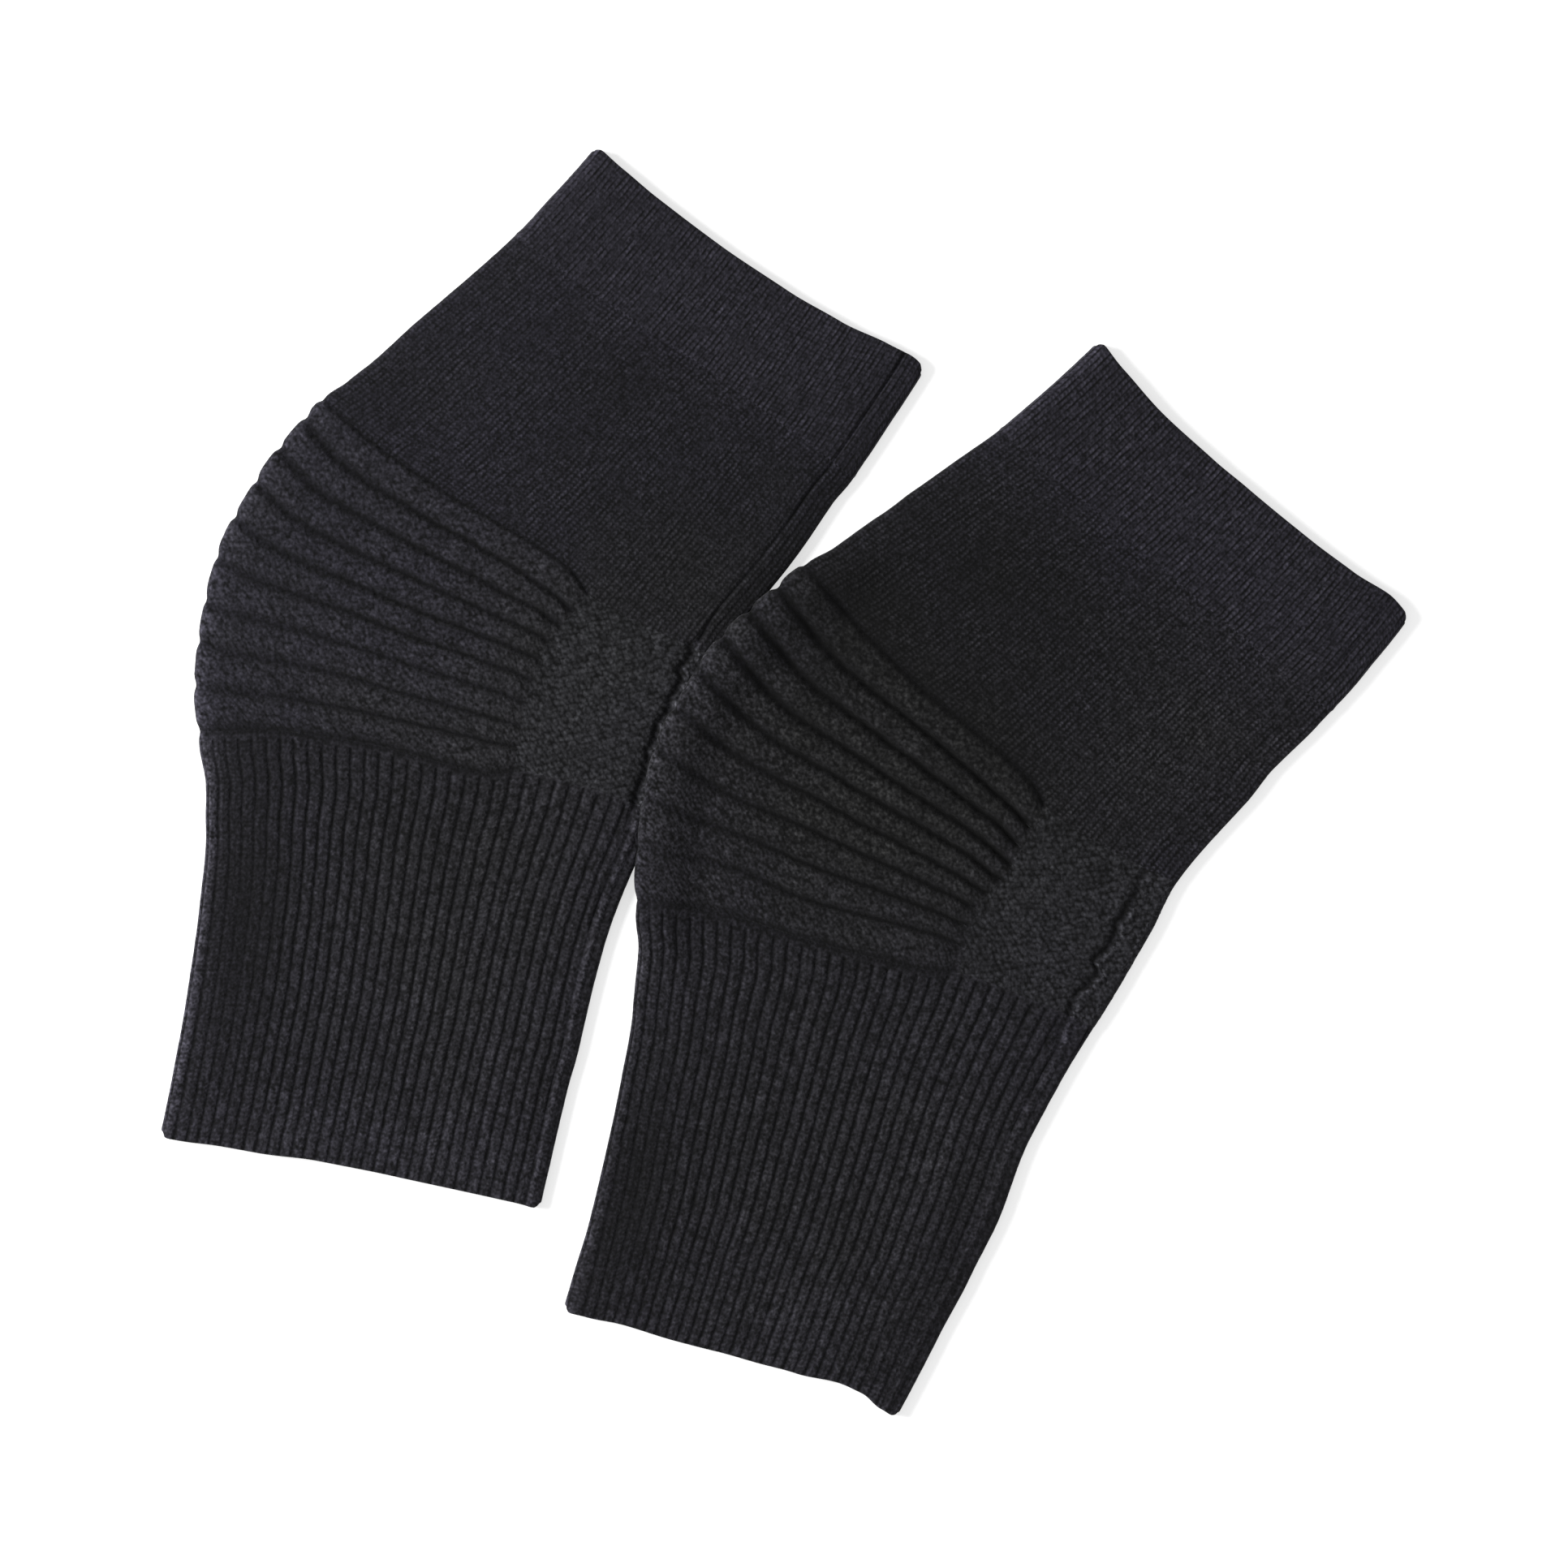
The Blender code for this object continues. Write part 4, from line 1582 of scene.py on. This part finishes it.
@dataclass
class Stage:
    """Floor, lamp, world and camera, with lengths in metres."""

    floor_colour: Colour = (0.8, 0.8, 0.8)
    floor_size: float = 6.0
    floor_height: float = -0.0002
    floor_white: float = 0.6            # how much the floor shines where it is seen
    world_strength: float = 0.36
    key_power: float = 35.0
    key_size: float = 0.7
    key_place: tuple[float, float, float] = (-1.42, 0.27, 0.95)
    view_width: float = 0.5603
    camera_height: float = 2.6
    camera_place: tuple[float, float] = (0.0, -0.0007)

    @staticmethod
    def seen(tree: bpy.types.NodeTree) -> Term:
        """1 where the camera sees straight, mirrored or through glass, or else 0.

        Args:
            tree: the nodes that it is for.

        Returns:
            The mask.
        """
        paths = tree.nodes.new("ShaderNodeLightPath")
        camera, glossy, through = (Term(tree, paths.outputs[name]) for name in
                                   ("Is Camera Ray", "Is Glossy Ray", "Is Transmission Ray"))
        return camera.math("MAXIMUM", glossy).math("MAXIMUM", through)

    def floor(self) -> None:
        """A plain pale floor that keeps the object's shadow and shows white."""
        half = self.floor_size / 2
        mesh = bpy.data.meshes.new("floor")
        corners = [(-half, -half), (half, -half), (half, half), (-half, half)]
        mesh.from_pydata([(x, y, self.floor_height) for x, y in corners], [], [(0, 1, 2, 3)])
        material = bpy.data.materials.new("pale_floor")
        material.use_nodes = True
        tree = material.node_tree
        shader = tree.nodes["Principled BSDF"]
        set_inputs(shader, {"Base Color": (*self.floor_colour, 1.0), "Roughness": 1.0,
                            "Specular IOR Level": 0.0, "Emission Color": WHITE})
        (self.seen(tree) * self.floor_white).into(shader.inputs["Emission Strength"])
        mesh.materials.append(material)
        placed("floor", mesh)

    def world(self) -> None:
        """Even light from all round, white where the camera sees it."""
        world = bpy.data.worlds.new("studio")
        bpy.context.scene.world = world
        world.use_nodes = True
        tree = world.node_tree
        background = tree.nodes["Background"]
        set_inputs(background, {"Color": WHITE})
        strength = self.seen(tree) * (1.0 - self.world_strength) + self.world_strength
        strength.into(background.inputs["Strength"])

    def key(self) -> None:
        """One soft lamp, high at the front left of the pair."""
        lamp = bpy.data.lights.new("key", "AREA")
        lamp.shape = "DISK"
        lamp.size = self.key_size
        lamp.energy = self.key_power
        holder = placed("key", lamp)
        holder.location = self.key_place
        holder.rotation_mode = "QUATERNION"
        holder.rotation_quaternion = (-Vector(self.key_place)).to_track_quat("-Z", "Y")

    def camera(self) -> None:
        """A long lens looking straight down."""
        data = bpy.data.cameras.new("camera")
        data.sensor_width = 36.0
        data.lens = data.sensor_width * self.camera_height / self.view_width
        data.clip_end = 20.0
        camera = bpy.context.scene.camera = placed("camera", data)
        camera.location = (*self.camera_place, self.camera_height)

    def build(self) -> None:
        """Everything round the object."""
        self.floor()
        self.world()
        self.key()
        self.camera()
        bpy.context.scene.view_settings.view_transform = "Standard"


LEFT_SECTIONS = (
    # along, then x and y at the front, the middle, the inner line and the rear
    (0, 39.5, 193, 78.5, 162.5, 116.5, 136, 154.5, 113.5),
    (43, 10.5, 162.5, 45, 137.5, 91.5, 105.5, 131, 76),
    (85.5, -24, 132, 18.5, 101.5, 64.5, 69.5, 108.5, 44.5),
    (128, -58.5, 103.5, -13, 69.5, 36, 34, 82.5, 12),
    (159.7, -85, 71, -32, 42.5, 22, 17, 76, -4),
    (191.3, -101.5, 27.5, -45, 14, 14, -5, 67.5, -25),
    (223, -102.5, -14.5, -49.5, -18.5, 10, -27.5, 61, -44),
    (271, -101, -62.5, -53.5, -67, -2, -75.5, 42.5, -88),
    (319, -107, -111, -61, -117, -12.5, -126, 30.5, -136.5),
    (368, -115.5, -158.5, -69.5, -165.5, -22.5, -175.5, 19.5, -185),
)
RIGHT_SECTIONS = (
    (0, 71, 184.5, 104.5, 149.5, 144.5, 115, 180, 88),
    (43, 35.5, 153.5, 72.5, 122.5, 115.5, 85.5, 153.5, 53.5),
    (85.5, 1, 129.5, 42, 92.5, 85, 54, 126.5, 25),
    (128, -35, 105, 7, 62, 52.5, 18.5, 99, -7),
    (159.7, -65.5, 78, -19.5, 40, 39.5, -1.5, 90, -24),
    (191.3, -87, 39, -36, 13, 27.5, -17, 80, -41),
    (223, -94, -14, -43.5, -26, 20.5, -39.5, 69.5, -59),
    (271, -97, -62.5, -49.5, -75, 0, -86.5, 44, -104.5),
    (319, -106.5, -111, -64, -122.5, -17.5, -134.5, 23, -151.5),
    (368, -119.5, -160, -81, -170.5, -36, -182.5, -0.5, -198),
)

LEFT_GROOVES = tuple(Groove(*row) for row in (
    # width at front, at gusset, depth at front, at gusset, early, late and steady stray
    (1.3, 1, 0.95, 0.9, 0.8, -5, -0.3),
    (1.9, 1.2, 0.95, 0.95, 1.4, -3.1, -0.3),
    (1.9, 1.2, 0.95, 0.95, 1, -2.1, -0.4),
    (1.8, 1.2, 0.95, 0.9, 1, -1.4, -0.5),
    (1.7, 1.2, 0.85, 0.95, 0.4, -1.3, -0.5),
    (1.7, 1.1, 0.7, 0.9, -0.6, -1.5, -0.6),
    (1.8, 1.2, 0.62, 0.75, -1, -0.8, -0.4),
    (1.8, 1.1, 0.6, 0.75, -0.9, 1.2, -0.2),
    (1.8, 1.1, 0.62, 0.9, -1.1, 2, -0.2),
    (2, 1.8, 0.8, 0.8, -1.2, 4.8, 0),
))
RIGHT_GROOVES = tuple(Groove(*row) for row in (
    (1.7, 1.6, 1.15, 1.15, 0.4, -4.2, -0.6),
    (2.1, 1.4, 1.35, 1.62, 2.1, -1.9, -0.8),
    (2.1, 1.4, 1.35, 1.62, 2.3, -2.5, -0.95),
    (2.1, 1.4, 1.3, 1.6, 3.1, -2.6, -1.4),
    (2, 1.4, 1.15, 1.48, 3, -2.8, -1.4),
    (1.9, 1.3, 0.9, 1.35, 2.1, -1, -1.1),
    (1.8, 1.3, 0.7, 1.3, 1.6, 0, -0.9),
    (1.8, 1.3, 0.5, 1.2, -0.6, -0.7, -0.7),
    (1.9, 1.3, 0.45, 1, -2.6, -1.2, -0.8),
    (2, 1.8, 0.6, 0.8, -2.2, 2.4, 0),
))

LEFT_FRONT = (
    # along, how far the outline stands out
    (0, 1), (22, 0.8), (42, 0.1), (86, 0.3), (110, -1.5), (118, -1.3), (128, 0.6), (146, 0.2),
    (160, -0.2), (172, 0.8), (194, -0.3), (214, 1.2), (226, 0.2), (240, -1.6), (256, -0.7),
    (284, 0.4), (320, 0.4), (345, 0.8), (368, 1))
LEFT_REAR = (
    (0, 1.2), (26, 0.5), (44, 0.2), (56, -0.8), (82, -0.2), (240, 0.3), (284, 0.9), (310, 0.8),
    (325, 0.1), (350, 0), (368, -0.2))
RIGHT_FRONT = (
    (0, 1.2), (30, 1), (44, 0.7), (58, 1), (80, 0.5), (96, -0.2), (116, -1), (128, 0.9),
    (146, 0.3), (162, 0.8), (174, 0), (188, 1.1), (216, 1.5), (226, 0.1), (236, -1.7), (260, -0.4),
    (286, 0.5), (338, 0.5), (356, 1.1), (368, 1.1))
RIGHT_REAR = (
    (0, 1.8), (26, 0.9), (50, -0.2), (74, -0.7), (90, 0.4), (120, 0), (206, 0.3), (242, -0.7),
    (264, -0.4), (294, 1.7), (316, 0.5), (338, -0.4), (368, -0.5))

LEFT_TOP_HEM = (
    # share of the girth, how far the hem stands out
    (0, 1.3), (0.1, 0.6), (0.2, 0.1), (0.4, 0), (0.6, 0.8), (0.75, 1.9), (0.88, 3.6), (0.94, 3.8),
    (1, 2.4))
LEFT_BOTTOM_HEM = (
    (0, 1.3), (0.08, 1.6), (0.15, 1.4), (0.27, 1.7), (0.42, 0.6), (0.6, 0.2), (0.93, 0), (1, 0.6))
RIGHT_TOP_HEM = (
    (0, 1.5), (0.1, 0.6), (0.23, -0.1), (0.4, 0.6), (0.5, 1.1), (0.7, 1.2), (0.82, 1.6),
    (0.92, 2.8), (1, 0.8))
RIGHT_BOTTOM_HEM = (
    (0, 0.8), (0.08, 0.4), (0.18, -0.4), (0.33, 0.2), (0.45, 0.3), (0.58, 0.8), (0.68, 0.4),
    (0.82, -1.9), (0.87, -1.7), (0.94, 0.4), (1, 1.3))

LEFT_SEAM = (
    # along, arc to the back outline
    (0, 10.4), (63, 10.6), (107, 11.5), (126, 10), (133.5, 8.6), (143, 10.1), (151.5, 8.8),
    (163.5, 9.9), (171, 9.3), (178.5, 11.1), (184.5, 9.8), (192, 10.6), (198.5, 9.9), (207, 8.8),
    (216, 9.7), (223.5, 8.8), (236, 8.6), (285, 8.3), (320, 7.5), (368, 7.2))
RIGHT_SEAM = (
    (0, 10.6), (60, 10.4), (110, 10.8), (124, 11.5), (131.5, 12.4), (144, 10.7), (153, 12),
    (162, 12.5), (174, 11), (182, 11.6), (189, 13.1), (196, 9.8), (205, 10.6), (214.5, 12.3),
    (224.5, 10.2), (238, 9), (368, 8.3))

MOSS = Finish(
    "moss_knit", (0.127, 0.126, 0.14), (0.124, 0.125, 0.131), gauge=1.34, wale=0, loop=0.46,
    scatter=0.56, fleck=0.7, bump=0.28, hollow=0.72, pebbled=1, jumble=0.55, stray=0.6)
FINISHES = {
    Zone.CUFF: Finish(
        "cuff_knit", (0.142, 0.137, 0.164), (0.142, 0.14, 0.151), gauge=1, wale=0.96,
        loop=0.34, scatter=0.42, fleck=0.5, bump=0.22, hollow=0.5, stray=0.25),
    Zone.THIGH: Finish(
        "jersey_knit", (0.106, 0.102, 0.126), (0.107, 0.106, 0.11), gauge=1.06, wale=0.56,
        loop=0.44, scatter=0.5, fleck=0.66, bump=0.22, hollow=0.5, stray=0.45),
    Zone.KNEE: Finish(
        "padded_knit", (0.128, 0.124, 0.148), (0.128, 0.128, 0.129), gauge=1.36, wale=0.1,
        loop=0.32, scatter=0.5, fleck=0.82, bump=0.22, hollow=0.74, pebbled=0.9, jumble=0.8,
        stray=0.6),
    Zone.GUSSET_UPPER: MOSS,
    Zone.GUSSET_LOWER: MOSS,
    Zone.CALF: Finish(
        "rib_knit", (0.124, 0.12, 0.141), (0.122, 0.121, 0.128), gauge=1, wale=0.14,
        loop=0.32, scatter=0.6, fleck=0.74, bump=0.26, hollow=0.54, pebbled=0.4, jumble=0.7,
        stray=0.4),
}


@dataclass
class Warmer:
    """One knee warmer: its tube, its relief and its six zones."""

    relief: Relief
    rests_on: tuple[str, ...] = ()

    def panels(self) -> list[Panel]:
        """The zones, from the thigh to the calf.

        Returns:
            The six zones.
        """
        relief, on = self.relief, self.rests_on
        return [
            Ring(relief, Zone.CUFF, THIGH_HEM, CUFF_LINE, (0.300, 0.063)),
            Ring(relief, Zone.THIGH, CUFF_LINE, KNEE_TOP, (0.330, 0.087), on),
            KneePad(relief, Zone.KNEE, KNEE_TOP, KNEE_BOTTOM, (0.250, 0.135), on, 0.0285),
            GussetTop(relief, Zone.GUSSET_UPPER, KNEE_TOP, KNEE_BOTTOM, (0.050, 0.067),
                      (f"{relief.tube.name}_gusset_lower",)),
            GussetUnder(relief, Zone.GUSSET_LOWER, KNEE_TOP, KNEE_BOTTOM, (0.069, 0.063)),
            RibbedRing(relief, Zone.CALF, KNEE_BOTTOM, CALF_HEM, (0.319, 0.163),
                       row_step=1.1, upper=(0, .20, .33, .42, .5, .58, .67, .80),
                       lower=(0, .33, .5, .67), cells=RIBS),
        ]

    def build(self, weaver: Weaver) -> None:
        """Place the tube in the frame and add every zone.

        Args:
            weaver: makes the materials.
        """
        self.relief.tube.settle()
        for panel in self.panels():
            panel.add(weaver, FINISHES[panel.zone])


LEFT = Warmer(Relief(
    tube=Tube("left", LEFT_SECTIONS, LEFT_GROOVES, LEFT_SEAM, LEFT_FRONT, LEFT_REAR,
              LEFT_TOP_HEM, LEFT_BOTTOM_HEM, lapped=False, puff=0.9, tip_rise=3.6, seed=11),
    ridges=Ridges(LEFT_GROOVES, dip=0.5, dip_reach=3, reach=((0, 2.4), (400, 2.4))),
    ribs=Ribs(((0, -0.3), (250, -0.2), (290, 0.2), (310, 0.3), (368, 0.3)), drift_end=0.8),
    seam=BackSeam(crevice=1.4, line=1.2, shadow=0.55, string=0.85),
    creases=hollows(
        (285, 17, 44, 8, -0.9, 2), (335, 60, 30, 14, -0.3, -8), (66, 55, 30, 16, -0.4, 12)),
    under_creases=hollows((300, 60, 50, 9, -0.7, 5), (80, 70, 40, 10, -0.6, -10)),
    # Patches of painted light and shade.
    painted_light_and_shade=hollows(
        (90, 33, 22, 14, 0.04), (62, 68, 20, 12, -0.12), (84, 84, 26, 24, -0.05),
        (112, 14, 13, 14, -0.11), (80, 130, 60, 45, -0.12), (290, 19, 46, 14, -0.34, 2),
        (243, 18, 20, 16, -0.07), (250, 65, 26, 45, -0.06), (285, 135, 60, 26, 0.06),
        (168, 70, 50, 60, -0.03), (358, 10, 12, 14, -0.05), (350, 14, 16, 14, -0.06),
        (212, 80, 12, 50, -0.05), (318, 103, 45, 14, 0.06), (358, 54, 14, 12, 0.1),
        (350, 112, 18, 20, 0.08), (362, 80, 12, 120, 0.12), (236, 40, 12, 60, -0.06)),
    # Painted highlight along the front fold, partly lighter stretched stitches, and painted shade
    # along the back fold.
    stretch_and_front_highlight=((0, 0.3), (36, 0.24), (50, 0.06), (122, 0.06), (134, 0.24), (200, 0.34), (240, 0.6),
          (340, 0.66), (368, 0.54)),
    painted_rear_shade=((0, 0), (20, -0.1), (50, -0.18), (112, -0.2), (126, 0), (368, 0)),
    rib_fades=hollows(
        (290, 17, 50, 12, 0.9), (232, 4, 14, 12, 0.5), (362, 60, 14, 90, 0.22)),
    greys=hollows(
        (105, 140, 45, 40, 0.5), (175, 135, 60, 35, 0.6), (210, 75, 10, 50, 0.2),
        (280, 95, 70, 50, 0.7)),
    grains=hollows((40, 20, 80, 36, -0.25), (172, 16, 60, 30, -0.16))))
RIGHT = Warmer(Relief(
    tube=Tube("right", RIGHT_SECTIONS, RIGHT_GROOVES, RIGHT_SEAM, RIGHT_FRONT, RIGHT_REAR,
              RIGHT_TOP_HEM, RIGHT_BOTTOM_HEM, lapped=True, puff=0.9, tip_rise=0.4, seed=23),
    ridges=Ridges(RIGHT_GROOVES, dip=0.9, dip_reach=4,
                  reach=((0, -0.5), (150, -0.5), (162, 2), (180, 2), (192, 0), (223, -0.5),
                         (400, -0.5))),
    ribs=Ribs(((0, -0.2), (250, -0.15), (275, 0), (290, 0), (330, 0.5), (368, 1))),
    seam=BackSeam(crevice=1.5, line=0.5, shadow=1, string=0.8,
                  swell=((120, 0.5), (158, 0.8), (188, 1), (240, 1)),
                  cord=((240, 1), (272, 0.85), (310, 0.45), (345, 0.2), (368, 0.2))),
    creases=hollows(
        (325, 14, 44, 8, -0.8, 2), (300, 130, 44, 6, -0.6, -8), (70, 80, 30, 16, -0.4, 12)),
    under_creases=hollows((310, 75, 45, 9, -0.7, -4), (90, 60, 40, 10, -0.6, 8)),
    # Patches of painted light and shade.
    painted_light_and_shade=hollows(
        (122, 60, 18, 75, -0.2), (84, 36, 25, 50, -0.28), (92, 95, 24, 40, -0.06),
        (16, 100, 18, 90, 0.08), (20, 20, 22, 24, -0.05), (78, 140, 40, 25, 0.1),
        (146, 60, 22, 60, -0.3), (140, 66, 14, 20, 0.17), (158, 76, 14, 12, 0.1),
        (118, 22, 16, 16, -0.14), (186, 24, 14, 16, -0.07), (246, 10, 14, 10, 0.05),
        (252, 26, 18, 16, -0.04), (180, 10, 34, 14, 0.06), (195, 60, 30, 60, -0.16),
        (218, 62, 7, 36, -0.08), (206, 125, 16, 14, -0.08), (325, 15, 44, 12, -0.26, 2),
        (312, 128, 40, 6, -0.16, -8), (275, 120, 35, 7, 0.08, -12), (354, 84, 16, 14, 0.2),
        (285, 115, 60, 40, 0.05), (330, 12, 40, 20, -0.04), (366, 80, 6, 120, 0.08)),
    # Painted highlight along the front fold, partly lighter stretched stitches, and painted shade
    # along the back fold.
    stretch_and_front_highlight=((0, 0.36), (36, 0.26), (50, 0.06), (122, 0.04), (134, 0.06), (165, 0.12),
          (215, 0.12), (226, 0.16), (238, 0.34), (262, 0.26), (300, 0.24), (350, 0.46),
          (368, 0.54)),
    painted_rear_shade=((0, 0), (60, 0.05), (110, 0.05), (260, 0), (290, -0.16), (368, -0.16)),
    rib_fades=hollows(
        (325, 15, 50, 12, 0.6), (330, 125, 50, 14, 0.5, -8), (350, 70, 26, 70, 0.25),
        (246, 20, 24, 24, 0.2)),
    greys=hollows(
        (85, 60, 38, 90, 0.55), (127, 60, 16, 90, 0.5), (165, 80, 38, 80, 0.9),
        (205, 60, 25, 80, 0.2), (80, 140, 50, 30, 0.5), (300, 80, 80, 80, 0.6)),
    grains=hollows((95, 70, 45, 120, 0.18), (176, 38, 48, 50, 0.36))),
    rests_on=("left_gusset_lower",))


def main() -> None:
    """Build both warmers in the frame, and the studio round them."""
    logging.basicConfig(level=logging.INFO, format="%(message)s")
    weaver = Weaver()
    for warmer in (LEFT, RIGHT):
        warmer.build(weaver)
    Stage().build()


if __name__ == "__main__":
    main()
